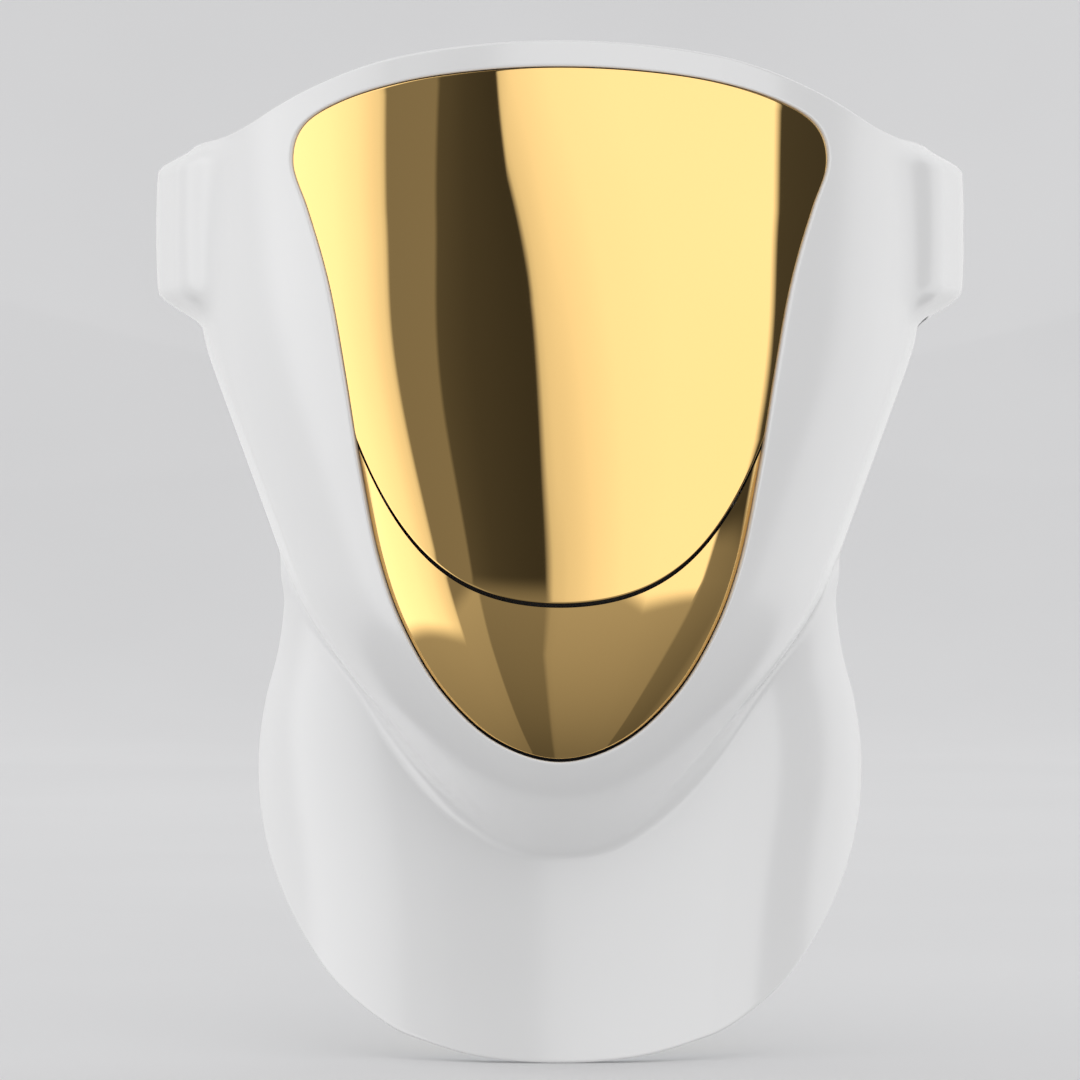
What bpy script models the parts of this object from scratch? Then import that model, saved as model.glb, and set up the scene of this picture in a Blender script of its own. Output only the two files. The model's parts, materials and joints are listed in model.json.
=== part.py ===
"""LED light mask for the face and neck, with a gold mirror visor and a rear head holder.

Lengths are in millimetres until add_object turns them into metres. +X is the right of the mask as seen
from in front, -Y is its front, and +Z is up. The origin is the middle of the head holder's tilt axis.
"""

import math

import bmesh
import bpy
import numpy as np

MM = 0.001
GAP = 0.3

# Depths below the mask's outer surface, in order from the outside in.
SHELL_WALL = 2.4
LENS_SETBACK = 0.6
LENS_WALL = 1.6
GASKET_DEPTH = 3.6
GASKET_WALL = 1.2
BOARD_DEPTH = 8.0
BOARD_WALL = 1.0
PANEL_EDGE_DEPTH = 4.8
PANEL_DEPTH = 12.0
PANEL_WALL = 2.0
PANEL_TURN = 10.0
CHIN_TILT = 1.0

# Head holder: its tilt axis is the X axis.
ARM_INNER_X = 85.0
ARM_WALL = 3.2
ARM_HALF_HEIGHT = 8.0
ARM_END_Y = 70.0
PIVOT_RADIUS = 9.0
PIN_RADIUS = 3.0
PIN_END_X = 99.0
HUB_END_X = 101.0
WASHER_RADIUS = 7.0
BAND_MOUTH_Y = 34.0
BAND_STRAIGHT_Y = 78.0
BAND_BACK_Y = 112.0
BAND_WALL = 6.4
BAND_HALF_HEIGHT = 11.0

# Controls, on the outer side of the right pod.
BUTTON_HEIGHT = 0.0
POWER_Y = -10.5
POWER_RADIUS = 4.5
MODE_Y = 1.5
MODE_RADIUS = 3.2
BOARD_X = 103.0
BOARD_THICK = 1.6
PORT_Y = -14.0
PORT_X = 103.8
PORT_FACE_Z = -22.8
BEZEL_TOP_Z = -20.4
SOCKET_TOP_Z = -16.4

# The battery's cell in the left pod: its centre, its half size and its two ends across the head.
BATTERY_Y = -24.0
BATTERY_Z = -2.0
BATTERY_HALF = 13.0
BATTERY_X = (-105.6, -97.0)

# The face: its widest half width, how fast the sides draw in, and where the jaw starts to round.
FACE_HALF_WIDTH = 107.8
FACE_TAPER = 0.352
JAW_START = -101.0
JAW_DROP = 84.0
OVAL_TAPER_START = -28.0
WALL_TAPER_START = -19.8
WALL_LEAN = 6.0
WALL_FRONT_Y = -75.0
WALL_BACK_Y = -20.0

# A side pod's outline in plan on the right, from its front to its side.
POD_PLAN = [(99.0, -51.0), (108.8, -42.0), (118.4, -16.0), (118.4, 16.0)]
# How far round from the front the pods begin, in radians.
POD_START = 0.85

LIGHT_MARGIN = 2.6
LIGHT_TAPER = 0.8
LIGHT_HEIGHT = 1.3

EYE_X = 32.0
EYE_Z = -12.0
EYE_HALF_WIDTH = 20.0
EYE_HALF_HEIGHT = 12.0
EYE_SHIELD_DEPTH = 9.0

# The visor opening's right half, from the top centre to the bottom centre, as (x, z).
VISOR_HALF = [
    (0, 39.8), (22, 38.9), (43, 36.3), (61, 31.5), (72, 25), (74.8, 14.8), (70.5, 2.0), (66, -12.0),
    (62.5, -26.0), (58.5, -48.0), (54.5, -72.0), (49.5, -96.0), (42.5, -115.0), (32.0, -132.0),
    (17.5, -145.0), (0, -150.3),
]

# The shell's edge on the right, from the top centre round to the bottom centre, as (degrees round, z).
EDGE_HALF = [
    (0, 47.4), (9, 46.9), (18, 45.6), (27, 43.2), (34, 39.9), (41, 35.5), (47, 31.2), (53, 27.0),
    (59, 24.7), (66, 23.8), (74, 24.0), (84, 23.8), (93, 23.2), (97.5, 21.0), (99, 17.0), (99, 10.0),
    (99, 0.0), (99, -10.0), (98.5, -18.0), (96, -23.0), (90.5, -27.0), (85, -31.0), (82.5, -38.0),
    (79, -56.0), (75.5, -74.0), (72, -92.0), (70.5, -107.0), (71, -122.0), (72.5, -138.0),
    (73.5, -154.0), (73, -168.0), (69.5, -180.0), (63, -191.7), (54.5, -203.3), (45, -214.6),
    (32, -225.6), (24, -229.6), (16, -232.6), (8, -234.1), (0, -234.5),
]


def smoothstep(x):
    """0 to 1 as x runs from 0 to 1, level at both ends."""
    x = np.clip(x, 0.0, 1.0)
    return x * x * (3.0 - 2.0 * x)


def softplus(x, softness):
    """0 for low x and x for high x, with a soft corner."""
    return softness * np.log1p(np.exp(np.clip(x / softness, -60.0, 60.0)))


def smooth_max(a, b, softness):
    """The larger of a and b, with a fillet where they meet."""
    share = np.clip(0.5 + 0.5 * (a - b) / softness, 0.0, 1.0)
    return b + (a - b) * share + softness * share * (1.0 - share)


def smooth_min(a, b, softness):
    """The smaller of a and b, with a rounded corner where they meet."""
    return -smooth_max(-a, -b, softness)


def curve_through(points, steps):
    """An open Catmull-Rom curve through the points."""
    points = np.asarray(points, float)
    padded = np.vstack([2 * points[:1] - points[1:2], points, 2 * points[-1:] - points[-2:-1]])
    t = np.linspace(0.0, 1.0, steps, endpoint=False)[:, None]
    pieces = []
    for a, b, c, d in zip(padded, padded[1:], padded[2:], padded[3:]):
        bend = (2 * a - 5 * b + 4 * c - d) * t**2 + (3 * b - a - 3 * c + d) * t**3
        pieces.append(0.5 * (2 * b + (c - a) * t + bend))
    pieces.append(points[-1:])
    return np.vstack(pieces)


def half_outline(points, steps):
    """A smooth half outline that runs level into its mirror image at both ends."""
    points = np.asarray(points, float)
    mirrored = points * (-1, 1)
    whole = np.vstack([mirrored[1:2], points, mirrored[-2:-1]])
    return curve_through(whole, steps)[steps:-steps]


def profile(points):
    """A smooth function through (z, value) points given from the bottom up."""
    curve = curve_through(points, 12)
    return lambda z: np.interp(z, curve[:, 0], curve[:, 1])


bib_half_width = profile(
    [(-240, 87), (-200, 88), (-180, 89.4), (-165, 90.9), (-150, 91.4), (-136, 90.1), (-122, 87.2),
     (-108, 86.0), (-94, 86.3), (-70, 72)]
)
bib_depth = profile([(-240, 91), (-205, 84.5), (-170, 79), (-140, 74), (-100, 66), (-70, 58)])


def tapered_width(z, start, softness):
    """Half the face's width: level above the height start, then narrowing to the rounded jaw."""
    taper = FACE_HALF_WIDTH - FACE_TAPER * softplus(start - z, softness)
    jaw = np.clip((JAW_START - z) / JAW_DROP, 0.0, 0.999)
    return np.maximum(taper * (1.0 - jaw**1.9) ** 0.75, 1.0)


def face_half_width(z):
    return tapered_width(z, OVAL_TAPER_START, 12.0)


def wall_half_width(z):
    return tapered_width(z, WALL_TAPER_START, 4.0)


def face_depth(z):
    chin = np.clip((-75.0 - z) / 107.0, 0.0, 0.999)
    return np.maximum((128.0 - 0.00205 * (z + 75.0) ** 2) * (1.0 - chin**8) ** 0.45, 1.0)


def face_exponent(z):
    return 2.15 + 0.4 * smoothstep(-z / 120.0)


def oval_radius(phi, half_width, depth, exponent):
    """Distance from the Z axis to a superellipse, phi round from the front."""
    across = np.abs(np.sin(phi)) / half_width
    along = np.abs(np.cos(phi)) / depth
    return (across**exponent + along**exponent) ** (-1.0 / exponent)


def line_radius(phi, x0, y0, x1, y1):
    """Distance from the Z axis to the line through two plan points, phi round from the front."""
    normal_x = y1 - y0
    normal_y = x0 - x1
    reach = normal_x * np.abs(np.sin(phi)) - normal_y * np.cos(phi)
    return (normal_x * x0 + normal_y * y0) / np.where(np.abs(reach) < 1e-6, 1e-6, reach)


def face_radius(phi, z):
    """The face's rounded front, cut off at the sides by a flat wall that leans a little outwards."""
    oval = oval_radius(phi, face_half_width(z), face_depth(z), face_exponent(z))
    wall = wall_half_width(z)
    return smooth_min(oval, line_radius(phi, wall - WALL_LEAN, WALL_FRONT_Y, wall, WALL_BACK_Y), 1.0)


def base_radius(phi, z):
    """The face and the bib as one surface, with a crease at the jaw and a soft valley under the chin."""
    bib = oval_radius(phi, bib_half_width(z), bib_depth(z), 2.2)
    softness = 2.0 + 26.0 * smoothstep((48.0 - np.degrees(np.abs(phi))) / 32.0)
    return smooth_max(face_radius(phi, z), bib, softness)


def pod_share(z):
    """How much of the pod's bulge is present at height z."""
    top = smoothstep((25.0 - z) / 7.5)
    bottom = smoothstep((z + 28.5) / 11.5)
    return top * bottom * (1.0 - 0.06 * (z / 20.0) ** 2)


def outer_radius(phi, z):
    """The mask's outer surface, pods included."""
    base = base_radius(phi, z)
    plan = line_radius(phi, *POD_PLAN[0], *POD_PLAN[1])
    for start, end in zip(POD_PLAN[1:], POD_PLAN[2:]):
        plan = smooth_min(plan, line_radius(phi, *start, *end), 3.0)
    rise = smooth_max(plan - base, 0.0, 3.5) * (np.abs(phi) > POD_START)
    return base + rise * pod_share(z)


def at(phi, z, radius):
    """Points at the angle phi round from the front, at height z and at a distance from the Z axis."""
    return np.stack([radius * np.sin(phi), -radius * np.cos(phi), z + 0.0 * phi], axis=-1)


def phi_on_face(x, z):
    """The angle at which the face's surface reaches x."""
    exponent = face_exponent(z)
    share = np.clip(np.abs(x) / face_half_width(z), 0.0, 0.999)
    y = face_depth(z) * (1.0 - share**exponent) ** (1.0 / exponent)
    return np.arctan2(x, y)


VISOR_RIGHT = half_outline(VISOR_HALF, 10)
EDGE_RIGHT = half_outline(EDGE_HALF, 10)
EDGE_TOP = EDGE_RIGHT[EDGE_RIGHT[:, 1] > 22.0]
EDGE_BOTTOM = EDGE_RIGHT[EDGE_RIGHT[:, 1] < -180.0][::-1]
ANGLE_TO_LENGTH = 1.3
CENTRE_Z = -4.0


def edge_phi(z):
    """How far round the shell's edge is at height z, in radians."""
    return np.radians(np.interp(z, EDGE_RIGHT[::-1, 1], EDGE_RIGHT[::-1, 0]))


def edge_distance(phi, z):
    """Distance to the nearest part of the shell's edge, in millimetres."""
    degrees = np.degrees(np.abs(phi))
    round_way = (edge_phi(z) - np.abs(phi)) * 100.0
    above = np.interp(degrees, EDGE_TOP[:, 0], EDGE_TOP[:, 1]) - z
    below = z - np.interp(degrees, EDGE_BOTTOM[:, 0], EDGE_BOTTOM[:, 1], right=-1000.0)
    return np.maximum(np.minimum(np.minimum(round_way, above), below), 0.0)


def crease_z(x):
    """The line between the visor's two lenses."""
    return -108.0 + 0.00684 * x**2 + 2.42e-6 * x**4


def add_object(name, points, faces, colour, roughness=0.4, metallic=0.0, alpha=1.0):
    """One closed solid in its own object, with its own material."""
    mesh = bpy.data.meshes.new(name)
    mesh.from_pydata((np.asarray(points, float).reshape(-1, 3) * MM).tolist(), [], faces)
    tidy_mesh(mesh)
    obj = bpy.data.objects.new(name, mesh)
    bpy.context.scene.collection.objects.link(obj)
    paint(obj, colour, roughness, metallic, alpha)
    mesh.shade_smooth()
    mesh.set_sharp_from_angle(angle=math.radians(35))
    return obj


def tidy_mesh(mesh):
    """Joins doubled points and turns every face outwards."""
    shape = bmesh.new()
    shape.from_mesh(mesh)
    bmesh.ops.remove_doubles(shape, verts=shape.verts, dist=1e-6)
    bmesh.ops.dissolve_degenerate(shape, dist=1e-6, edges=shape.edges)
    bmesh.ops.recalc_face_normals(shape, faces=shape.faces)
    shape.to_mesh(mesh)
    shape.free()


def paint(obj, colour, roughness, metallic, alpha):
    material = bpy.data.materials.new(obj.name)
    material.use_nodes = True
    shader = material.node_tree.nodes["Principled BSDF"]
    shader.inputs["Base Color"].default_value = (*colour, 1.0)
    shader.inputs["Roughness"].default_value = roughness
    shader.inputs["Metallic"].default_value = metallic
    shader.inputs["Alpha"].default_value = alpha
    obj.data.materials.append(material)


def sheet_faces(rows, columns, wrap):
    """Faces of two grids of points and of the rim between them. wrap joins the last column to the first."""
    size = rows * columns
    last = columns if wrap else columns - 1
    faces = []
    for i in range(rows - 1):
        for j in range(last):
            a, b = i * columns + j, i * columns + (j + 1) % columns
            c, d = b + columns, a + columns
            faces += [(a, b, c, d), (a + size, d + size, c + size, b + size)]
    for j in range(last):
        for i in (0, rows - 1):
            a, b = i * columns + j, i * columns + (j + 1) % columns
            faces.append((a, b, b + size, a + size))
    if not wrap:
        for i in range(rows - 1):
            for j in (0, columns - 1):
                a, d = i * columns + j, (i + 1) * columns + j
                faces.append((a, d, d + size, a + size))
    return faces


def add_sheet(name, front, back, colour, wrap=False, **look):
    """A solid between two grids of points of the same shape."""
    rows, columns = front.shape[:2]
    points = np.concatenate([front.reshape(-1, 3), back.reshape(-1, 3)])
    return add_object(name, points, sheet_faces(rows, columns, wrap), colour, **look)


def add_layer(name, phi, z, front_radius, back_radius, colour, wrap=False, **look):
    """A curved sheet between two distances from the Z axis."""
    return add_sheet(name, at(phi, z, front_radius), at(phi, z, back_radius), colour, wrap, **look)


def add_prism(name, outline, axis, low, high, colour, **look):
    """An outline in the plane across axis, extruded from low to high. Its points are in X, Y, Z order."""
    outline = np.asarray(outline, float)
    others = [index for index in range(3) if index != axis]
    count = len(outline)
    points = np.zeros((2, count, 3))
    points[:, :, others] = outline
    points[0, :, axis] = low
    points[1, :, axis] = high
    faces = [tuple(range(count)), tuple(range(count, 2 * count))]
    for i in range(count):
        j = (i + 1) % count
        faces.append((i, j, j + count, i + count))
    return add_object(name, points, faces, colour, **look)


def circle(centre_a, centre_b, radius, steps=28, stretch=1.0):
    angles = np.linspace(0.0, 2.0 * math.pi, steps, endpoint=False)
    return [(centre_a + radius * stretch * math.cos(a), centre_b + radius * math.sin(a)) for a in angles]


def rounded_box_outline(centre_a, centre_b, half_a, half_b, corner, steps=4):
    outline = []
    for quarter, (side_a, side_b) in enumerate([(1, 1), (-1, 1), (-1, -1), (1, -1)]):
        for k in range(steps + 1):
            angle = math.pi / 2 * (quarter + k / steps)
            a = centre_a + side_a * (half_a - corner) + corner * math.cos(angle)
            b = centre_b + side_b * (half_b - corner) + corner * math.sin(angle)
            outline.append((a, b))
    return outline


def cut(obj, outline, axis, low, high):
    """Cuts an extruded outline out of obj."""
    cutter = add_prism(f"{obj.name}_cutter", outline, axis, low, high, (1, 0, 0))
    cutter.hide_render = True
    cutter.display_type = "WIRE"
    modifier = obj.modifiers.new("cut", "BOOLEAN")
    modifier.operation = "DIFFERENCE"
    modifier.solver = "EXACT"
    modifier.object = cutter


WHITE = (0.86, 0.86, 0.87)
GOLD = (0.95, 0.72, 0.28)
BLACK = (0.02, 0.02, 0.022)
SILICONE = (0.78, 0.80, 0.82)
BOARD_WHITE = (0.9, 0.9, 0.88)
STEEL = (0.55, 0.56, 0.58)
FOAM = (0.10, 0.10, 0.11)
BATTERY_BLUE = (0.15, 0.25, 0.5)
BOARD_GREEN = (0.02, 0.25, 0.12)
RIBBON_AMBER = (0.75, 0.45, 0.1)
LIGHT_PIPE = (0.6, 0.9, 0.7)


def shell_grid(columns_half, rows):
    """The shell's angles and heights: rows run from the visor opening to the edge, columns right round."""
    keep = np.linspace(0, len(EDGE_RIGHT) - 1, columns_half).round().astype(int)
    edge = EDGE_RIGHT[keep]
    edge = np.vstack([edge, (edge[-2:0:-1]) * (-1, 1)])
    visor = np.column_stack([np.degrees(phi_on_face(*VISOR_RIGHT.T)), VISOR_RIGHT[:, 1]])
    visor_angle = np.arctan2(visor[:, 0] * ANGLE_TO_LENGTH, visor[:, 1] - CENTRE_Z)
    edge_angle = np.arctan2(np.abs(edge[:, 0]) * ANGLE_TO_LENGTH, edge[:, 1] - CENTRE_Z)
    start_phi = np.interp(edge_angle, visor_angle, visor[:, 0]) * np.sign(edge[:, 0])
    start_z = np.interp(edge_angle, visor_angle, visor[:, 1])
    along = np.linspace(0.0, 1.0, rows)[:, None]
    near_pod = smoothstep((60.0 - np.abs(edge[:, 1] + 2.0)) / 30.0)
    beside_pod = near_pod * smoothstep((np.abs(edge[:, 0]) - 40.0) / 30.0)
    rise = along + (smoothstep(along / 0.5) - along) * beside_pod
    phi = start_phi + (edge[:, 0] - start_phi) * along
    z = start_z + (edge[:, 1] - start_z) * rise
    return np.radians(phi), z


def make_front_shell():
    phi, z = shell_grid(50, 12)
    outer = outer_radius(phi, z)
    shell = add_layer("front_shell", phi, z, outer, outer - SHELL_WALL, WHITE, wrap=True, roughness=0.25)
    cut(shell, circle(POWER_Y, BUTTON_HEIGHT, POWER_RADIUS + GAP), 0, 110, 120)
    cut(shell, circle(MODE_Y, BUTTON_HEIGHT, MODE_RADIUS + GAP), 0, 110, 120)
    cut(shell, circle(POWER_Y, BUTTON_HEIGHT - 9.0, 1.2 + GAP, 12), 0, 110, 120)
    cut(shell, rounded_box_outline(PORT_X, PORT_Y, 3.7, 6.3, 1.2), 2, -29, -19)


def lens_outline(steps):
    """The upper lens's outline, from the top centre round to the right, as (x, z)."""
    upper = VISOR_RIGHT[VISOR_RIGHT[:, 1] > crease_z(VISOR_RIGHT[:, 0]) + 2 * GAP]
    end_x = upper[-1, 0]
    crease_x = np.linspace(end_x, 0.0, steps)[1:]
    crease = np.column_stack([crease_x, crease_z(crease_x) + GAP])
    return np.vstack([upper, crease])


def make_visor_lens():
    right = lens_outline(12)
    right = right[np.linspace(0, len(right) - 1, 28).round().astype(int)]
    outline = np.vstack([right, right[-2:0:-1] * (-1, 1)])
    centre = np.array([0.0, -30.0])
    inward = (centre - outline) / np.linalg.norm(centre - outline, axis=1)[:, None]
    outline = outline + inward * 2 * GAP
    rings = np.linspace(0.0, 1.0, 6)[:, None, None]
    points = centre + (outline - centre) * rings
    x, z = points[..., 0], points[..., 1]
    phi = phi_on_face(x, z)
    outer = outer_radius(phi, z) - LENS_SETBACK
    add_layer("visor_lens", phi, z, outer, outer - LENS_WALL, GOLD, wrap=True, roughness=0.05, metallic=1.0)


def chin_grid(columns, rows, inset=2 * GAP):
    """Angles and heights over the chin lens, from the crease down to the opening's edge."""
    lower = VISOR_RIGHT[VISOR_RIGHT[:, 1] < crease_z(VISOR_RIGHT[:, 0]) - 3 * GAP]
    end_x = lower[0, 0] - 1.5 * inset
    x = np.sin(np.linspace(-1.0, 1.0, columns) * math.pi / 2) * end_x
    top = crease_z(x) - GAP
    floor = lower[np.argsort(lower[:, 0])]
    bottom = np.minimum(np.interp(np.abs(x), floor[:, 0], floor[:, 1]) + inset * 1.5, top - 2 * GAP)
    down = np.linspace(0.0, 1.0, rows)[:, None]
    z = top + (bottom - top) * down
    return phi_on_face(np.broadcast_to(x, z.shape), z), z, down


def make_chin_lens():
    phi, z, down = chin_grid(21, 6)
    outer = outer_radius(phi, z) - LENS_SETBACK - CHIN_TILT * down
    add_layer("chin_lens", phi, z, outer, outer - LENS_WALL, GOLD, roughness=0.05, metallic=1.0)


def make_crease_seal():
    x = np.linspace(-48.0, 48.0, 17)
    across = np.array([4.0, 0.0, -4.0])[:, None]
    z = crease_z(x) + across
    phi = phi_on_face(np.broadcast_to(x, z.shape), z)
    outer = outer_radius(phi, z) - (LENS_SETBACK + LENS_WALL + 5 * GAP)
    add_layer("crease_seal", phi, z, outer, outer - 0.8, BLACK, roughness=0.7)


def make_visor_gasket():
    right = VISOR_RIGHT[np.linspace(0, len(VISOR_RIGHT) - 1, 32).round().astype(int)]
    outline = np.vstack([right, right[-2:0:-1] * (-1, 1)])
    tangent = np.roll(outline, -1, axis=0) - np.roll(outline, 1, axis=0)
    normal = np.column_stack([-tangent[:, 1], tangent[:, 0]])
    normal /= np.linalg.norm(normal, axis=1)[:, None]
    points = outline + normal * np.array([-2.0, 2.0])[:, None, None]
    x, z = points[..., 0], points[..., 1]
    phi = phi_on_face(x, z)
    outer = outer_radius(phi, z) - GASKET_DEPTH
    add_layer("visor_gasket", phi, z, outer, outer - GASKET_WALL, BLACK, wrap=True, roughness=0.7)


def panel_radius(phi, z):
    """The inner panels' outer face: close under the shell at the edge, set well back from it elsewhere."""
    turn = smoothstep(edge_distance(phi, z) / PANEL_TURN)
    edge = outer_radius(phi, z) - PANEL_EDGE_DEPTH
    return edge + (base_radius(phi, z) - PANEL_DEPTH - edge) * turn


def panel_grid(heights, columns, inset=0.02):
    z = np.repeat(np.asarray(heights, float)[:, None], columns, axis=1)
    phi = (edge_phi(z) - inset) * np.linspace(-1.0, 1.0, columns)
    return phi, z


def at_x(x, z, depth):
    """Points at x and z, at a depth below the inner panels' outer face."""
    phi = phi_on_face(x, z)
    for _ in range(12):
        radius = panel_radius(phi, z) - depth
        phi = np.arcsin(x / radius)
    return at(phi, z, radius)


def raise_lenses(obj, wanted):
    """Raises a small dome on each inner face that wanted picks, one for each light."""
    shape = bmesh.new()
    shape.from_mesh(obj.data)
    chosen = []
    for face in shape.faces:
        centre = face.calc_center_median() / MM
        outward = face.normal.x * centre.x + face.normal.y * centre.y
        if outward < -0.5 * math.hypot(centre.x, centre.y) and wanted(centre):
            chosen.append(face)
    bmesh.ops.inset_individual(shape, faces=chosen, thickness=LIGHT_MARGIN * MM)
    bmesh.ops.inset_individual(shape, faces=chosen, thickness=LIGHT_TAPER * MM, depth=LIGHT_HEIGHT * MM)
    shape.to_mesh(obj.data)
    shape.free()
    obj.data.shade_smooth()
    obj.data.set_sharp_from_angle(angle=math.radians(35))


def face_light(centre):
    """Whether a face panel's cell has a light: a regular grid, clear of the eyes."""
    across = math.degrees(math.atan2(abs(centre.x), -centre.y))
    clear_of_eye = ((abs(centre.x) - EYE_X) / 32.0) ** 2 + ((centre.z - EYE_Z) / 22.0) ** 2 > 1.0
    clear_of_nose = abs(centre.x) > 14.0 or not -46.0 < centre.z < -14.0
    return across < 52.0 and clear_of_eye and clear_of_nose and -116.0 < centre.z < 16.0


def neck_light(centre):
    across = math.degrees(math.atan2(abs(centre.x), -centre.y))
    return -222.0 < centre.z < -166.0 and across < 50.0


def make_inner_panels():
    upper = [46.4, 44.5, 40, 34, 27.5, 23.2, 20, 16]
    middle = [7.0 - 13.0 * k for k in range(12)]
    phi, z = panel_grid(upper + middle + [-150.0], 23)
    outer = panel_radius(phi, z)
    face = add_layer("inner_panel_face", phi, z, outer, outer - PANEL_WALL, SILICONE, roughness=0.5)
    raise_lenses(face, face_light)
    for side in (-1, 1):
        eye = circle(side * EYE_X, EYE_Z, EYE_HALF_HEIGHT, 24, EYE_HALF_WIDTH / EYE_HALF_HEIGHT)
        cut(face, eye, 1, -130, -60)
        ends = sorted([side * 80.0, side * 110.0])
        cut(face, circle(0, 0, PIVOT_RADIUS + GAP), 0, *ends)
    phi, z = panel_grid([-150.5, -157, -163.5, -170, -177, -187, -198, -209, -219, -228, -233.4], 17)
    outer = panel_radius(phi, z)
    neck = add_layer("inner_panel_neck", phi, z, outer, outer - PANEL_WALL, SILICONE, roughness=0.5)
    raise_lenses(neck, neck_light)


def make_led_boards():
    z = np.repeat(np.linspace(13.0, -138.0, 11)[:, None], 15, axis=1)
    phi = (edge_phi(z) - 0.26).clip(0.2, 0.98) * np.linspace(-1.0, 1.0, 15)
    outer = base_radius(phi, z) - BOARD_DEPTH
    face = add_layer("led_board_face", phi, z, outer, outer - BOARD_WALL, BOARD_WHITE, roughness=0.5)
    for side in (-1, 1):
        eye = circle(side * EYE_X, EYE_Z, EYE_HALF_HEIGHT, 24, EYE_HALF_WIDTH / EYE_HALF_HEIGHT)
        cut(face, eye, 1, -130, -60)
    z = np.repeat(np.linspace(-172.0, -214.0, 6)[:, None], 13, axis=1)
    phi = (edge_phi(z) - 0.24) * np.linspace(-1.0, 1.0, 13)
    outer = base_radius(phi, z) - BOARD_DEPTH
    add_layer("led_board_neck", phi, z, outer, outer - BOARD_WALL, BOARD_WHITE, roughness=0.5)


def make_board_ribbon():
    """The flat cable that joins the two light boards behind the chin."""
    z = np.linspace(-139.0, -171.0, 8)[:, None]
    phi = np.radians(np.array([-5.0, 5.0]))
    phi, z = np.broadcast_arrays(phi, z)
    outer = base_radius(phi, z) - BOARD_DEPTH - 0.3
    add_layer("board_ribbon", phi, z, outer, outer - 0.4, RIBBON_AMBER, roughness=0.5)


def make_eye_shields():
    """A soft cup round each eye opening, standing on the face panel."""
    for side, name in ((-1, "eye_shield_left"), (1, "eye_shield_right")):
        rings = []
        for half_width, half_height in ((26.0, 17.0), (23.5, 14.5)):
            rings.append(circle(side * EYE_X, EYE_Z, half_height, 26, half_width / half_height))
        x, z = np.moveaxis(np.array(rings), -1, 0)
        foot = at_x(x, z, PANEL_WALL + 2 * GAP)
        add_sheet(name, foot, foot + (0.0, EYE_SHIELD_DEPTH, 0.0), BLACK, wrap=True, roughness=0.6)


def add_pillow(name, phi_half, z_low, z_high, thickness, colour, foot_gap=GAP, columns=13, rows=7):
    """A cushion on an inner panel, thickest in its middle."""
    phi = np.radians(phi_half) * np.linspace(-1.0, 1.0, columns)
    z = np.linspace(z_low, z_high, rows)[:, None]
    phi, z = np.broadcast_arrays(phi, z)
    across = np.linspace(-1.0, 1.0, columns)
    up = np.linspace(-1.0, 1.0, rows)[:, None]
    swell = ((1.0 - across**6) * (1.0 - up**6)) ** 0.5
    foot = panel_radius(phi, z) - PANEL_WALL - foot_gap
    return add_layer(name, phi, z, foot, foot - 1.2 - thickness * swell, colour, roughness=0.8)


def make_pads():
    add_pillow("forehead_pad", 26.0, 21.0, 35.0, 6.0, FOAM, foot_gap=6 * GAP)
    add_pillow("nose_pad", 4.0, -40.0, -20.0, 9.0, FOAM, foot_gap=2 * GAP, columns=7)
    add_pillow("chin_pad", 12.0, -134.0, -124.0, 5.0, FOAM, foot_gap=5 * GAP, columns=9, rows=5)


def make_battery():
    outline = rounded_box_outline(BATTERY_Y, BATTERY_Z, BATTERY_HALF, BATTERY_HALF, 2.0)
    add_prism("battery_pack", outline, 0, *BATTERY_X, BATTERY_BLUE, roughness=0.4)


def make_controls():
    board = rounded_box_outline(-14, -2.5, 18.5, 13.5, 1.0)
    add_prism("control_board", board, 0, BOARD_X, BOARD_X + BOARD_THICK, BOARD_GREEN, roughness=0.4)
    face_x = BOARD_X + BOARD_THICK + GAP
    for name, y in (("power_switch", POWER_Y), ("mode_switch", MODE_Y)):
        outline = rounded_box_outline(y, BUTTON_HEIGHT, 3.0, 3.0, 0.4)
        add_prism(name, outline, 0, face_x, face_x + 3.5, STEEL, roughness=0.35, metallic=0.8)
    light = circle(POWER_Y, BUTTON_HEIGHT - 9.0, 1.2, 12)
    add_prism("status_light", light, 0, face_x, 116.9, LIGHT_PIPE, roughness=0.2)
    make_port()


def make_port():
    """The charging socket under the right pod: a steel shell in a black bezel."""
    outline = rounded_box_outline(PORT_X, PORT_Y, 3.4, 6.0, 1.0)
    bezel = add_prism("port_bezel", outline, 2, PORT_FACE_Z, BEZEL_TOP_Z, BLACK, roughness=0.5)
    cut(bezel, rounded_box_outline(PORT_X, PORT_Y, 1.9, 4.8, 1.5), 2, -30, -20)
    outline = rounded_box_outline(PORT_X, PORT_Y, 1.6, 4.5, 1.4)
    ends = (PORT_FACE_Z + 0.2, SOCKET_TOP_Z)
    socket = add_prism("usb_socket", outline, 2, *ends, STEEL, roughness=0.3, metallic=1.0)
    cut(socket, rounded_box_outline(PORT_X, PORT_Y, 1.2, 4.1, 1.1), 2, -30, SOCKET_TOP_Z - 1.0)


def make_buttons():
    for name, y, radius in (("power_button", POWER_Y, POWER_RADIUS), ("mode_button", MODE_Y, MODE_RADIUS)):
        steps = [(109.4, radius - 1.5), (111.6, radius - 1.5), (111.6, radius + 1.2), (112.8, radius + 1.2)]
        steps += [(112.8, radius), (116.6, radius), (117.1, radius - 0.5)]
        button = add_turned(name, steps, WHITE, roughness=0.3)
        button.location = (0.0, y * MM, BUTTON_HEIGHT * MM)


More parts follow.
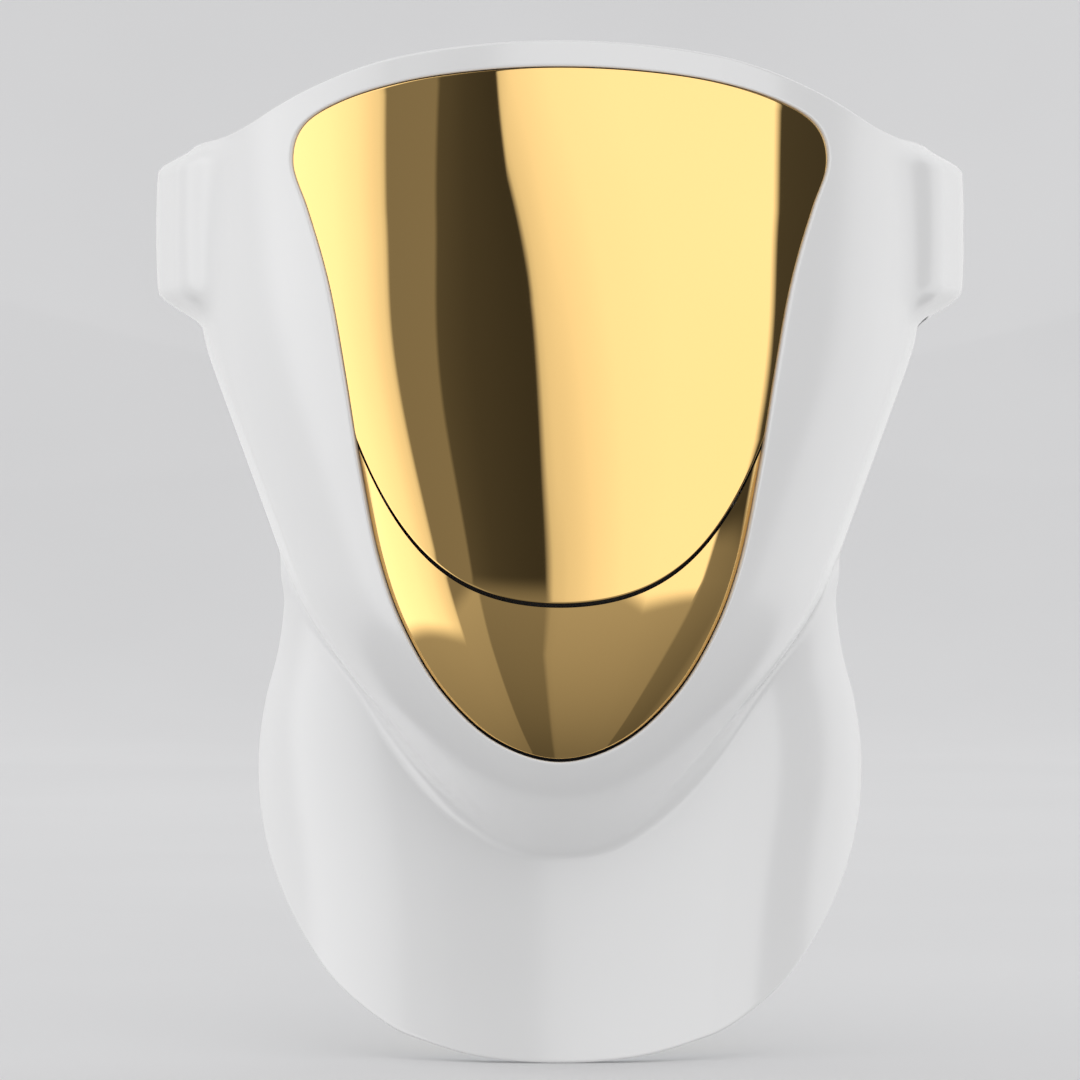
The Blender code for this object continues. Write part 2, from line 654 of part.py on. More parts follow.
def add_turned(name, steps, colour, segments=22, **look):
    """A solid turned round the X axis, through (x, radius) steps, with flat ends."""
    angles = np.linspace(0.0, 2.0 * math.pi, segments, endpoint=False)
    points = []
    for x, radius in steps:
        for angle in angles:
            points.append((x, radius * math.cos(angle), radius * math.sin(angle)))
    faces = [tuple(range(segments)), tuple(range(len(points) - segments, len(points)))]
    for i in range(len(steps) - 1):
        for j in range(segments):
            a, b = i * segments + j, i * segments + (j + 1) % segments
            faces.append((a, b, b + segments, a + segments))
    return add_object(name, points, faces, colour, **look)


def make_pivots():
    """Hub, friction washer and pin on each side, which hold the head holder's arms."""
    arm_outer_x = ARM_INNER_X + ARM_WALL
    washer_x = arm_outer_x + GAP
    hub_x = washer_x + 1.2 + GAP
    bore = circle(0, 0, PIN_RADIUS + GAP, 20)
    for side, suffix in ((-1, "left"), (1, "right")):
        hub = add_prism(
            f"pivot_hub_{suffix}", circle(0, 0, PIVOT_RADIUS), 0, side * hub_x, side * HUB_END_X, WHITE,
            roughness=0.4,
        )
        washer_ends = (side * washer_x, side * (washer_x + 1.2))
        washer = add_prism(
            f"friction_washer_{suffix}", circle(0, 0, WASHER_RADIUS), 0, *washer_ends, STEEL,
            roughness=0.3, metallic=1.0,
        )
        for part in (hub, washer):
            cut(part, bore, 0, *sorted((side * 80.0, side * 110.0)))
        head_x = ARM_INNER_X - GAP
        steps = [(head_x - 1.5, 5.0), (head_x - 1.1, 5.6), (head_x, 5.6), (head_x, PIN_RADIUS)]
        steps.append((PIN_END_X, PIN_RADIUS))
        steps = [(side * x, radius) for x, radius in steps]
        add_turned(f"pivot_pin_{suffix}", steps, STEEL, segments=24, roughness=0.25, metallic=1.0)


def make_arms():
    outline = []
    for k in range(19):
        angle = math.radians(62 + 236 * k / 18)
        outline.append((PIVOT_RADIUS * math.cos(angle), PIVOT_RADIUS * math.sin(angle)))
    outline += [(ARM_END_Y - 3, -ARM_HALF_HEIGHT), (ARM_END_Y, -ARM_HALF_HEIGHT + 3)]
    outline += [(ARM_END_Y, ARM_HALF_HEIGHT - 3), (ARM_END_Y - 3, ARM_HALF_HEIGHT)]
    for side, name in ((-1, "arm_left"), (1, "arm_right")):
        ends = sorted((side * ARM_INNER_X, side * (ARM_INNER_X + ARM_WALL)))
        arm = add_prism(name, outline, 0, *ends, WHITE, roughness=0.35)
        cut(arm, circle(0, 0, PIN_RADIUS + GAP, 20), 0, *sorted((side * 80.0, side * 110.0)))


def band_path(steps, start=0.0):
    """Centre line of the rear band, from its left sleeve round the back to its right one, as (x, y)."""
    centre_x = ARM_INNER_X + ARM_WALL / 2
    angles = np.linspace(-math.pi / 2 + start, math.pi / 2 - start, steps)
    x = centre_x * np.sign(np.sin(angles)) * np.abs(np.sin(angles)) ** 0.85
    y = BAND_STRAIGHT_Y + (BAND_BACK_Y - BAND_STRAIGHT_Y) * np.cos(angles) ** 0.85
    return np.column_stack([x, y])


def sweep_band(name, path, offsets_low, offsets_high, half_heights, colour, **look):
    """A strip that follows the path, between two offsets from it, with bevelled long edges."""
    tangent = np.gradient(path, axis=0)
    tangent /= np.linalg.norm(tangent, axis=1)[:, None]
    normal = np.column_stack([-tangent[:, 1], tangent[:, 0]])
    bevel = np.minimum(1.2, (offsets_high - offsets_low) / 3)
    ring = []
    for offset, height in (
        (offsets_low, half_heights - bevel), (offsets_low + bevel, half_heights),
        (offsets_high - bevel, half_heights), (offsets_high, half_heights - bevel),
        (offsets_high, bevel - half_heights), (offsets_high - bevel, -half_heights),
        (offsets_low + bevel, -half_heights), (offsets_low, bevel - half_heights),
    ):
        plan = path + normal * np.reshape(offset, (-1, 1))
        ring.append(np.column_stack([plan, np.broadcast_to(height, len(path))]))
    points = np.stack(ring, axis=1)
    count, sides = points.shape[:2]
    faces = [tuple(range(sides)), tuple(range((count - 1) * sides, count * sides))]
    for i in range(count - 1):
        for j in range(sides):
            a, b = i * sides + j, i * sides + (j + 1) % sides
            faces.append((a, b, b + sides, a + sides))
    return add_object(name, points.reshape(-1, 3), faces, colour, **look)


def make_rear_band():
    back = band_path(33)
    centre_x = ARM_INNER_X + ARM_WALL / 2
    left = [(-centre_x, BAND_MOUTH_Y), (-centre_x, 60.0), (-centre_x, 74.0)]
    right = [(centre_x, 74.0), (centre_x, 60.0), (centre_x, BAND_MOUTH_Y)]
    path = np.vstack([left, back, right])
    half = BAND_WALL / 2
    band = sweep_band("rear_band", path, -half, half, BAND_HALF_HEIGHT, WHITE, roughness=0.35)
    for side in (-1, 1):
        slot = rounded_box_outline(side * centre_x, 0, ARM_WALL / 2 + GAP, ARM_HALF_HEIGHT + GAP, 0.4, 2)
        cut(band, slot, 1, BAND_MOUTH_Y - 5, ARM_END_Y + 2)
    pad_path = band_path(25, start=0.75)
    share = np.linspace(-1.0, 1.0, len(pad_path))
    swell = (1.0 - share**6) ** 0.5
    inner = -half - GAP
    sweep_band(
        "rear_pad", pad_path, inner - 3.0 - 7.0 * swell, np.full(len(pad_path), inner),
        12.0 + 8.0 * swell, FOAM, roughness=0.8,
    )


def make_screws():
    """Screws that hold the inner panels to the shell, with their heads in the panels' inner face."""
    places = [(-24, 41.0), (24, 41.0), (-74, -60.0), (74, -60.0), (-66, -165.0), (66, -165.0)]
    for number, (degrees, z) in enumerate(places, start=1):
        phi = np.radians(degrees)
        inner = float(panel_radius(phi, z) - PANEL_WALL)
        foot = inner - 6 * GAP
        steps = [(foot - 1.6, 1.6), (foot - 1.2, 2.4), (foot, 2.4)]
        screw = add_turned(f"screw_{number}", steps, STEEL, segments=14, roughness=0.3, metallic=1.0)
        screw.location = (0.0, 0.0, z * MM)
        screw.rotation_euler = (0.0, 0.0, phi - math.pi / 2)


def main():
    for obj in list(bpy.data.objects):
        bpy.data.objects.remove(obj, do_unlink=True)
    make_front_shell()
    make_visor_lens()
    make_chin_lens()
    make_crease_seal()
    make_visor_gasket()
    make_inner_panels()
    make_led_boards()
    make_board_ribbon()
    make_eye_shields()
    make_pads()
    make_battery()
    make_controls()
    make_buttons()
    make_pivots()
    make_arms()
    make_rear_band()
    make_screws()


main()
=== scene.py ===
"""The LED face mask's looks: fine shell, mirror visor, lit panels, soft pads and studio light.

The mask's surfaces repeat part.py's dimensions, in millimetres, at a finer step. Everything else is placed
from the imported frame. +X is the right of the mask as seen from in front, -Y its front and +Z up.
"""

import json
import math

import bmesh
import bpy
import numpy as np
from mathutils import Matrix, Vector


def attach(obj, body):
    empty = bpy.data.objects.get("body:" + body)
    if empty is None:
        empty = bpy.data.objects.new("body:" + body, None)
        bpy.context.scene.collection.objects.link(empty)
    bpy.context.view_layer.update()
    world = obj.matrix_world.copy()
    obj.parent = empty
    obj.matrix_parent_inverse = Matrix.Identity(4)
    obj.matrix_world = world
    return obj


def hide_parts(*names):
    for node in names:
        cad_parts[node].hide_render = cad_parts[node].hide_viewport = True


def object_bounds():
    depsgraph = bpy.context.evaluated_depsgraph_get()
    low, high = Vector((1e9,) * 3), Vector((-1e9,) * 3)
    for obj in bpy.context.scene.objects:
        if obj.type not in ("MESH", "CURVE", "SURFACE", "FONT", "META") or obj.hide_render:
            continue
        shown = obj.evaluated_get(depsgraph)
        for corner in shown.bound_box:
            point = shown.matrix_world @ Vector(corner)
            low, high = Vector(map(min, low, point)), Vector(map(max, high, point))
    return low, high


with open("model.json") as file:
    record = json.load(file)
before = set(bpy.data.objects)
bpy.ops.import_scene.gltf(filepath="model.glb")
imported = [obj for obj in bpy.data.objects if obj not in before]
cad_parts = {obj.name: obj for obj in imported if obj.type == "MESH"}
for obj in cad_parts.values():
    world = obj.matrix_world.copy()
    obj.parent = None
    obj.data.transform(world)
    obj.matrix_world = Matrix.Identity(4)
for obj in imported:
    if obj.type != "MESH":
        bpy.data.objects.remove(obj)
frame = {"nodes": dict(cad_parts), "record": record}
cad_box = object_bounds()

MM = 0.001

# The camera stands level with the mask's middle. The view is VIEW_WIDTH metres wide there, and its centre is
# shifted towards -X by a small share of that width.
CAMERA_DISTANCE = 1.4
CAMERA_HEIGHT = -0.090
VIEW_WIDTH = 0.318866
SENSOR = 36.0
VIEW_SHIFT = 0.0185185

# Depths below the mask's outer surface, as in part.py.
SHELL_WALL = 2.4
LENS_SETBACK = 0.6
LENS_WALL = 1.6
PANEL_EDGE_DEPTH = 4.8
PANEL_DEPTH = 12.0
PANEL_WALL = 2.0
PANEL_TURN = 10.0
CHIN_TILT = 1.0
GAP = 0.3

PANEL_INSET = 0.02
EDGE_RADIUS = 0.35

EYE_X = 32.0
EYE_Z = -12.0
EYE_HALF_WIDTH = 20.0
EYE_HALF_HEIGHT = 12.0
PIVOT_RADIUS = 9.0

ARM_INNER_X = 85.0
ARM_WALL = 3.2
ARM_HALF_HEIGHT = 8.0
ARM_END_Y = 70.0
BAND_MOUTH_Y = 34.0
BAND_STRAIGHT_Y = 78.0
BAND_BACK_Y = 112.0
BAND_WALL = 6.4
BAND_HALF_HEIGHT = 11.0

# The face: its widest half width, how fast the sides draw in, and where the jaw starts to round.
FACE_HALF_WIDTH = 107.8
FACE_TAPER = 0.352
JAW_START = -101.0
JAW_DROP = 84.0
OVAL_TAPER_START = -28.0
WALL_TAPER_START = -19.8
WALL_LEAN = 6.0
WALL_FRONT_Y = -75.0
WALL_BACK_Y = -20.0

# A side pod's outline in plan on the right, from its front to its side.
POD_PLAN = [(99.0, -51.0), (108.8, -42.0), (118.4, -16.0), (118.4, 16.0)]
POD_START = 0.85

POWER_Y = -10.5
POWER_RADIUS = 4.5
POWER_DISH = 0.45
BUTTON_SIDES = 72
MODE_Y = 1.5
MODE_RADIUS = 3.2
PORT_X = 103.8
PORT_Y = -14.0

# The visor opening's right half, from the top centre to the bottom centre, as (x, z).
VISOR_HALF = [
    (0, 39.8), (22, 38.9), (43, 36.3), (61, 31.5), (72, 25), (74.8, 14.8), (70.5, 2.0), (66, -12.0),
    (62.5, -26.0), (58.5, -48.0), (54.5, -72.0), (49.5, -96.0), (42.5, -115.0), (32.0, -132.0),
    (17.5, -145.0), (0, -150.3),
]

# The shell's edge on the right, from the top centre round to the bottom centre, as (degrees round, z).
EDGE_HALF = [
    (0, 47.4), (9, 46.9), (18, 45.6), (27, 43.2), (34, 39.9), (41, 35.5), (47, 31.2), (53, 27.0),
    (59, 24.7), (66, 23.8), (74, 24.0), (84, 23.8), (93, 23.2), (97.5, 21.0), (99, 17.0), (99, 10.0),
    (99, 0.0),
    (99, -10.0), (98.5, -18.0), (96, -23.0), (90.5, -27.0), (85, -31.0), (82.5, -38.0), (79, -56.0),
    (75.5, -74.0), (72, -92.0), (70.5, -107.0), (71, -122.0), (72.5, -138.0), (73.5, -154.0),
    (73, -168.0), (69.5, -180.0), (63, -191.7), (54.5, -203.3), (45, -214.6), (32, -225.6),
    (24, -229.6), (16, -232.6), (8, -234.1), (0, -234.5),
]


# ---------------------------------------------------------------- shapes shared with part.py


def smoothstep(x):
    """0 to 1 as x runs from 0 to 1, level at both ends."""
    x = np.clip(x, 0.0, 1.0)
    return x * x * (3.0 - 2.0 * x)


def softplus(x, softness):
    """0 for low x and x for high x, with a soft corner."""
    return softness * np.log1p(np.exp(np.clip(x / softness, -60.0, 60.0)))


def smooth_max(a, b, softness):
    """The larger of a and b, with a fillet where they meet."""
    share = np.clip(0.5 + 0.5 * (a - b) / softness, 0.0, 1.0)
    return b + (a - b) * share + softness * share * (1.0 - share)


def smooth_min(a, b, softness):
    """The smaller of a and b, with a rounded corner where they meet."""
    return -smooth_max(-a, -b, softness)


def curve_through(points, steps):
    """An open Catmull-Rom curve through the points."""
    points = np.asarray(points, float)
    padded = np.vstack([2 * points[:1] - points[1:2], points, 2 * points[-1:] - points[-2:-1]])
    t = np.linspace(0.0, 1.0, steps, endpoint=False)[:, None]
    pieces = []
    for a, b, c, d in zip(padded, padded[1:], padded[2:], padded[3:]):
        bend = (2 * a - 5 * b + 4 * c - d) * t**2 + (3 * b - a - 3 * c + d) * t**3
        pieces.append(0.5 * (2 * b + (c - a) * t + bend))
    pieces.append(points[-1:])
    return np.vstack(pieces)


def half_outline(points, steps):
    """A smooth half outline that runs level into its mirror image at both ends."""
    points = np.asarray(points, float)
    mirrored = points * (-1, 1)
    whole = np.vstack([mirrored[1:2], points, mirrored[-2:-1]])
    return curve_through(whole, steps)[steps:-steps]


def resample(points, count):
    """The same path with its points evenly spaced."""
    steps = np.linalg.norm(np.diff(points, axis=0), axis=1)
    along = np.concatenate([[0.0], np.cumsum(steps)])
    wanted = np.linspace(0.0, along[-1], count)
    return np.column_stack([np.interp(wanted, along, points[:, i]) for i in range(points.shape[1])])


def profile(points):
    """A smooth function through (z, value) points given from the bottom up."""
    curve = curve_through(points, 40)
    return lambda z: np.interp(z, curve[:, 0], curve[:, 1])


bib_half_width = profile(
    [(-240, 87), (-200, 88), (-180, 89.4), (-165, 90.9), (-150, 91.4), (-136, 90.1), (-122, 87.2),
     (-108, 86.0), (-94, 86.3), (-70, 72)]
)
bib_depth = profile([(-240, 91), (-205, 84.5), (-170, 79), (-140, 74), (-100, 66), (-70, 58)])


def tapered_width(z, start, softness):
    """Half the face's width: level above the height start, then narrowing to the rounded jaw."""
    taper = FACE_HALF_WIDTH - FACE_TAPER * softplus(start - z, softness)
    jaw = np.clip((JAW_START - z) / JAW_DROP, 0.0, 0.999)
    return np.maximum(taper * (1.0 - jaw**1.9) ** 0.75, 1.0)


def face_half_width(z):
    return tapered_width(z, OVAL_TAPER_START, 12.0)


def wall_half_width(z):
    return tapered_width(z, WALL_TAPER_START, 4.0)


def face_depth(z):
    chin = np.clip((-75.0 - z) / 107.0, 0.0, 0.999)
    return np.maximum((128.0 - 0.00205 * (z + 75.0) ** 2) * (1.0 - chin**8) ** 0.45, 1.0)


def face_exponent(z):
    return 2.15 + 0.4 * smoothstep(-z / 120.0)


def oval_radius(phi, half_width, depth, exponent):
    """Distance from the Z axis to a superellipse, phi round from the front."""
    across = np.abs(np.sin(phi)) / half_width
    along = np.abs(np.cos(phi)) / depth
    return (across**exponent + along**exponent) ** (-1.0 / exponent)


def line_radius(phi, x0, y0, x1, y1):
    """Distance from the Z axis to the line through two plan points, phi round from the front."""
    normal_x = y1 - y0
    normal_y = x0 - x1
    reach = normal_x * np.abs(np.sin(phi)) - normal_y * np.cos(phi)
    return (normal_x * x0 + normal_y * y0) / np.where(np.abs(reach) < 1e-6, 1e-6, reach)


def face_radius(phi, z):
    """The face's rounded front, cut off at the sides by a flat wall that leans a little outwards."""
    oval = oval_radius(phi, face_half_width(z), face_depth(z), face_exponent(z))
    wall = wall_half_width(z)
    return smooth_min(oval, line_radius(phi, wall - WALL_LEAN, WALL_FRONT_Y, wall, WALL_BACK_Y), 1.0)


def base_radius(phi, z):
    """The face and the bib as one surface, with a crease at the jaw and a soft valley under the chin."""
    bib = oval_radius(phi, bib_half_width(z), bib_depth(z), 2.2)
    softness = 2.0 + 26.0 * smoothstep((48.0 - np.degrees(np.abs(phi))) / 32.0)
    return smooth_max(face_radius(phi, z), bib, softness)


def pod_share(z):
    """How much of the pod's bulge is present at height z."""
    top = smoothstep((25.0 - z) / 7.5)
    bottom = smoothstep((z + 28.5) / 11.5)
    return top * bottom * (1.0 - 0.06 * (z / 20.0) ** 2)


def outer_radius(phi, z):
    """The mask's outer surface, pods included."""
    base = base_radius(phi, z)
    plan = line_radius(phi, *POD_PLAN[0], *POD_PLAN[1])
    for start, end in zip(POD_PLAN[1:], POD_PLAN[2:]):
        plan = smooth_min(plan, line_radius(phi, *start, *end), 3.0)
    rise = smooth_max(plan - base, 0.0, 3.5) * (np.abs(phi) > POD_START)
    return base + rise * pod_share(z)


def at(phi, z, radius):
    """Points at the angle phi round from the front, the height z and the distance radius from the Z axis."""
    return np.stack([radius * np.sin(phi), -radius * np.cos(phi), z + 0.0 * phi], axis=-1)


def phi_on_face(x, z):
    """The angle at which the face's surface reaches x."""
    exponent = face_exponent(z)
    share = np.clip(np.abs(x) / face_half_width(z), 0.0, 0.999)
    y = face_depth(z) * (1.0 - share**exponent) ** (1.0 / exponent)
    return np.arctan2(x, y)


VISOR_RIGHT = resample(half_outline(VISOR_HALF, 30), 300)
EDGE_RIGHT = resample(half_outline(EDGE_HALF, 30), 600)
EDGE_TOP = EDGE_RIGHT[EDGE_RIGHT[:, 1] > 22.0]
EDGE_BOTTOM = EDGE_RIGHT[EDGE_RIGHT[:, 1] < -180.0][::-1]
ANGLE_TO_LENGTH = 1.3
CENTRE_Z = -4.0


def edge_phi(z):
    """How far round the shell's edge is at height z, in radians."""
    return np.radians(np.interp(z, EDGE_RIGHT[::-1, 1], EDGE_RIGHT[::-1, 0]))


def edge_distance(phi, z):
    """Distance to the nearest part of the shell's edge, in millimetres."""
    degrees = np.degrees(np.abs(phi))
    round_way = (edge_phi(z) - np.abs(phi)) * 100.0
    above = np.interp(degrees, EDGE_TOP[:, 0], EDGE_TOP[:, 1]) - z
    below = z - np.interp(degrees, EDGE_BOTTOM[:, 0], EDGE_BOTTOM[:, 1], right=-1000.0)
    return np.maximum(np.minimum(np.minimum(round_way, above), below), 0.0)


def crease_z(x):
    """The line between the visor's two lenses."""
    return -108.0 + 0.00684 * x**2 + 2.42e-6 * x**4


def crease_gap(x):
    """Half the dark gap between the lenses, which closes towards its ends."""
    return 0.05 + 0.2 * smoothstep((56.0 - np.abs(x)) / 20.0)


def panel_radius(phi, z):
    """The inner panels' outer face: close under the shell at the edge, set well back from it elsewhere."""
    turn = smoothstep(edge_distance(phi, z) / PANEL_TURN)
    edge = outer_radius(phi, z) - PANEL_EDGE_DEPTH
    return edge + (base_radius(phi, z) - PANEL_DEPTH - edge) * turn


# ---------------------------------------------------------------- mesh helpers


def sheet_faces(rows, columns, wrap):
    """Faces of two grids of points and of the rim between them. wrap joins the last column to the first."""
    size = rows * columns
    last = columns if wrap else columns - 1
    faces = []
    for i in range(rows - 1):
        for j in range(last):
            a, b = i * columns + j, i * columns + (j + 1) % columns
            c, d = b + columns, a + columns
            faces += [(a, b, c, d), (a + size, d + size, c + size, b + size)]
    for j in range(last):
        for i in (0, rows - 1):
            a, b = i * columns + j, i * columns + (j + 1) % columns
            faces.append((a, b, b + size, a + size))
    if not wrap:
        for i in range(rows - 1):
            for j in (0, columns - 1):
                a, d = i * columns + j, (i + 1) * columns + j
                faces.append((a, d, d + size, a + size))
    return faces


def add_piece(name, points, faces, sharp_degrees=40):
    """A mesh piece from points in millimetres, smooth shaded, with every face turned outwards."""
    mesh = bpy.data.meshes.new(name)
    mesh.from_pydata((np.asarray(points, float).reshape(-1, 3) * MM).tolist(), [], faces)
    shape = bmesh.new()
    shape.from_mesh(mesh)
    bmesh.ops.remove_doubles(shape, verts=shape.verts, dist=1e-6)
    bmesh.ops.dissolve_degenerate(shape, dist=1e-6, edges=shape.edges)
    bmesh.ops.recalc_face_normals(shape, faces=shape.faces)
    shape.to_mesh(mesh)
    shape.free()
    mesh.shade_smooth()
    mesh.set_sharp_from_angle(angle=math.radians(sharp_degrees))
    obj = bpy.data.objects.new(name, mesh)
    bpy.context.scene.collection.objects.link(obj)
    return obj


def add_layer(name, phi, z, front_radius, back_radius, wrap=False, sharp_degrees=40):
    """A curved sheet between two distances from the Z axis."""
    rows, columns = phi.shape
    front = at(phi, z, front_radius)
    back = at(phi, z, back_radius)
    points = np.concatenate([front.reshape(-1, 3), back.reshape(-1, 3)])
    return add_piece(name, points, sheet_faces(rows, columns, wrap), sharp_degrees)


def add_lens(name, phi, z, outer, wrap=False):
    """A lens whose rim runs straight back, so that only its face shows from the front."""
    front = at(phi, z, outer)
    back = front + (0.0, LENS_WALL, 0.0)
    points = np.concatenate([front.reshape(-1, 3), back.reshape(-1, 3)])
    return add_piece(name, points, sheet_faces(*phi.shape, wrap), 20)


def edge_drop(distance, radius):
    """How far a rounded edge falls away at a distance in from the edge."""
    short = np.clip(1.0 - distance / radius, 0.0, 1.0)
    return radius * (1.0 - np.sqrt(1.0 - short**2))


def spaced_from_edges(length, near, count):
    """Distances from 0 to length: the near ones at both ends, and count even steps between them."""
    near = np.asarray(near)[:, None] * np.ones_like(length)
    inner = np.linspace(0.0, 1.0, count)[1:-1, None]
    start, stop = near[-1], length - near[-1]
    return np.vstack([near, start + (stop - start) * inner, length - near[::-1]])


def circle(centre_a, centre_b, radius, steps=64, stretch=1.0):
    angles = np.linspace(0.0, 2.0 * math.pi, steps, endpoint=False)
    return [(centre_a + radius * stretch * math.cos(a), centre_b + radius * math.sin(a)) for a in angles]


def add_prism(name, outline, axis, low, high):
    """An outline in the plane across axis, extruded from low to high. Its points are in X, Y, Z order."""
    outline = np.asarray(outline, float)
    others = [index for index in range(3) if index != axis]
    count = len(outline)
    points = np.zeros((2, count, 3))
    points[:, :, others] = outline
    points[0, :, axis] = low
    points[1, :, axis] = high
    faces = [tuple(range(count)), tuple(range(count, 2 * count))]
    for i in range(count):
        j = (i + 1) % count
        faces.append((i, j, j + count, i + count))
    return add_piece(name, points, faces)


def cut(obj, outline, axis, low, high):
    """Cuts an extruded outline out of obj, for good."""
    cutter = add_prism(f"{obj.name}_cutter", outline, axis, low, high)
    modifier = obj.modifiers.new("cut", "BOOLEAN")
    modifier.operation = "DIFFERENCE"
    modifier.solver = "EXACT"
    modifier.object = cutter
    with bpy.context.temp_override(object=obj, active_object=obj, selected_objects=[obj]):
        bpy.ops.object.modifier_apply(modifier=modifier.name)
    bpy.data.objects.remove(cutter, do_unlink=True)


# ---------------------------------------------------------------- materials


class Shader:
    """One material's node tree, with short calls for the nodes that the materials share."""

    def __init__(self, name, colour, roughness=0.4, metallic=0.0, coat=0.0, coat_roughness=0.05, sheen=0.0):
        self.material = bpy.data.materials.new(name)
        self.material.use_nodes = True
        self.tree = self.material.node_tree
        self.shader = self.tree.nodes["Principled BSDF"]
        self.set("Base Color", (*colour, 1.0))
        self.set("Roughness", roughness)
        self.set("Metallic", metallic)
        self.set("Coat Weight", coat)
        self.set("Coat Roughness", coat_roughness)
        self.set("Sheen Weight", sheen)
        self.position = self.add("ShaderNodeTexCoord").outputs["Object"]

    def set(self, socket, value):
        self.shader.inputs[socket].default_value = value

    def add(self, kind, **settings):
        node = self.tree.nodes.new(kind)
        for key, value in settings.items():
            setattr(node, key, value)
        return node

    def link(self, output, target):
        self.tree.links.new(output, target)

    def scaled(self, scale):
        """The position, stretched by scale along X, Y and Z."""
        mapping = self.add("ShaderNodeMapping")
        mapping.inputs["Scale"].default_value = scale
        self.link(self.position, mapping.inputs["Vector"])
        return mapping.outputs["Vector"]

    def noise(self, scale, detail=2.0, stretch=(1.0, 1.0, 1.0)):
        node = self.add("ShaderNodeTexNoise")
        node.inputs["Scale"].default_value = scale
        node.inputs["Detail"].default_value = detail
        self.link(self.scaled(stretch), node.inputs["Vector"])
        return node.outputs["Fac"]

    def ramp(self, factor, stops):
        """A colour ramp of (position, colour) stops."""
        node = self.add("ShaderNodeValToRGB")
        elements = node.color_ramp.elements
        while len(elements) < len(stops):
            elements.new(0.5)
        for element, (position, colour) in zip(elements, stops):
            element.position = position
            element.color = (*colour, 1.0)
        self.link(factor, node.inputs["Fac"])
        return node.outputs["Color"]

    def vary_colour(self, factor, low, high, start=0.35, end=0.65):
        self.link(self.ramp(factor, [(start, low), (end, high)]), self.shader.inputs["Base Color"])

    def vary_roughness(self, factor, low, high, start=0.3, end=0.7):
        node = self.add("ShaderNodeMapRange")
        node.inputs["From Min"].default_value = start
        node.inputs["From Max"].default_value = end
        node.inputs["To Min"].default_value = low
        node.inputs["To Max"].default_value = high
        self.link(factor, node.inputs["Value"])
        self.link(node.outputs["Result"], self.shader.inputs["Roughness"])

    def bump(self, height, distance, strength=1.0):
        """Adds a height to the surface normal, after any bump added before it."""
        node = self.add("ShaderNodeBump")
        node.inputs["Distance"].default_value = distance
        node.inputs["Strength"].default_value = strength
        self.link(height, node.inputs["Height"])
        for socket in ("Normal", "Coat Normal"):
            before = self.shader.inputs[socket].links
            if before:
                self.link(before[0].from_socket, node.inputs["Normal"])
            self.link(node.outputs["Normal"], self.shader.inputs[socket])


def shell_plastic():
    """Satin white moulding under a thin clear coat: faint flow marks, fine moulded grain."""
    look = Shader("shell_white", (0.81, 0.81, 0.815), roughness=0.36, coat=1.0, coat_roughness=0.15)
    look.set("Coat IOR", 1.65)
    look.vary_colour(look.noise(9.0, 3.0), (0.80, 0.80, 0.805), (0.815, 0.815, 0.82))
    look.vary_roughness(look.noise(60.0, 4.0), 0.32, 0.40)
    look.bump(look.noise(1800.0, 2.0), 0.000006, 0.3)
    return look.material


def gold_mirror():
    """Vapour-deposited gold under a hard clear coat."""
    gold = (1.0, 0.66, 0.25)
    look = Shader("gold_mirror", gold, roughness=0.03, metallic=1.0, coat=0.1, coat_roughness=0.02)
    look.vary_colour(look.noise(6.0, 2.0), (0.995, 0.65, 0.24), (1.0, 0.67, 0.26))
    look.vary_roughness(look.noise(40.0, 5.0), 0.018, 0.036)
    look.bump(look.noise(14.0, 1.0), 0.00004, 0.25)
    return look.material


def frosted_panel():
    """Milky silicone with a fine blasted grain."""
    look = Shader("panel_frosted", (0.74, 0.76, 0.78), roughness=0.5, coat=0.1, coat_roughness=0.3)
    look.set("Subsurface Weight", 0.25)
    look.set("Subsurface Radius", (0.004, 0.004, 0.004))
    look.vary_colour(look.noise(14.0, 3.0), (0.70, 0.72, 0.745), (0.77, 0.785, 0.80))
    look.vary_roughness(look.noise(180.0, 3.0), 0.42, 0.58)
    look.bump(look.noise(1500.0, 3.0), 0.00003, 0.5)
    return look.material


def dome_lens():
    """The clear dome over each light, with the warm phosphor glowing through faintly."""
    look = Shader("dome_lens", (0.92, 0.86, 0.62), roughness=0.14, coat=0.8, coat_roughness=0.05)
    look.vary_colour(look.noise(260.0, 1.0), (0.90, 0.80, 0.50), (0.95, 0.93, 0.84))
    look.bump(look.noise(900.0, 1.0), 0.00002, 0.3)
    return look.material


def soft_rubber(name, colour):
    look = Shader(name, colour, roughness=0.62, sheen=0.15)
    light = tuple(min(1.0, c * 1.5 + 0.006) for c in colour)
    look.vary_colour(look.noise(30.0, 4.0), colour, light)
    look.vary_roughness(look.noise(90.0, 3.0), 0.52, 0.72)
    look.bump(look.noise(1900.0, 3.0), 0.00003, 0.6)
    return look.material


def knit_fabric():
    """Dark spacer knit: rows of small loops with a soft nap."""
    look = Shader("pad_knit", (0.09, 0.09, 0.10), roughness=0.85, sheen=0.5)
    wales = look.add("ShaderNodeTexWave", wave_type="BANDS", bands_direction="X")
    courses = look.add("ShaderNodeTexWave", wave_type="BANDS", bands_direction="Z")
    for node, scale in ((wales, 230.0), (courses, 190.0)):
        node.inputs["Scale"].default_value = scale
        node.inputs["Distortion"].default_value = 1.2
        node.inputs["Detail Scale"].default_value = 2.0
        look.link(look.position, node.inputs["Vector"])
    loops = look.add("ShaderNodeMath", operation="MULTIPLY")
    look.link(wales.outputs["Fac"], loops.inputs[0])
    look.link(courses.outputs["Fac"], loops.inputs[1])
    look.vary_colour(loops.outputs["Value"], (0.035, 0.035, 0.04), (0.16, 0.16, 0.17), 0.05, 0.8)
    look.bump(loops.outputs["Value"], 0.00035, 0.8)
    look.bump(look.noise(700.0, 3.0), 0.00008, 0.5)
    return look.material


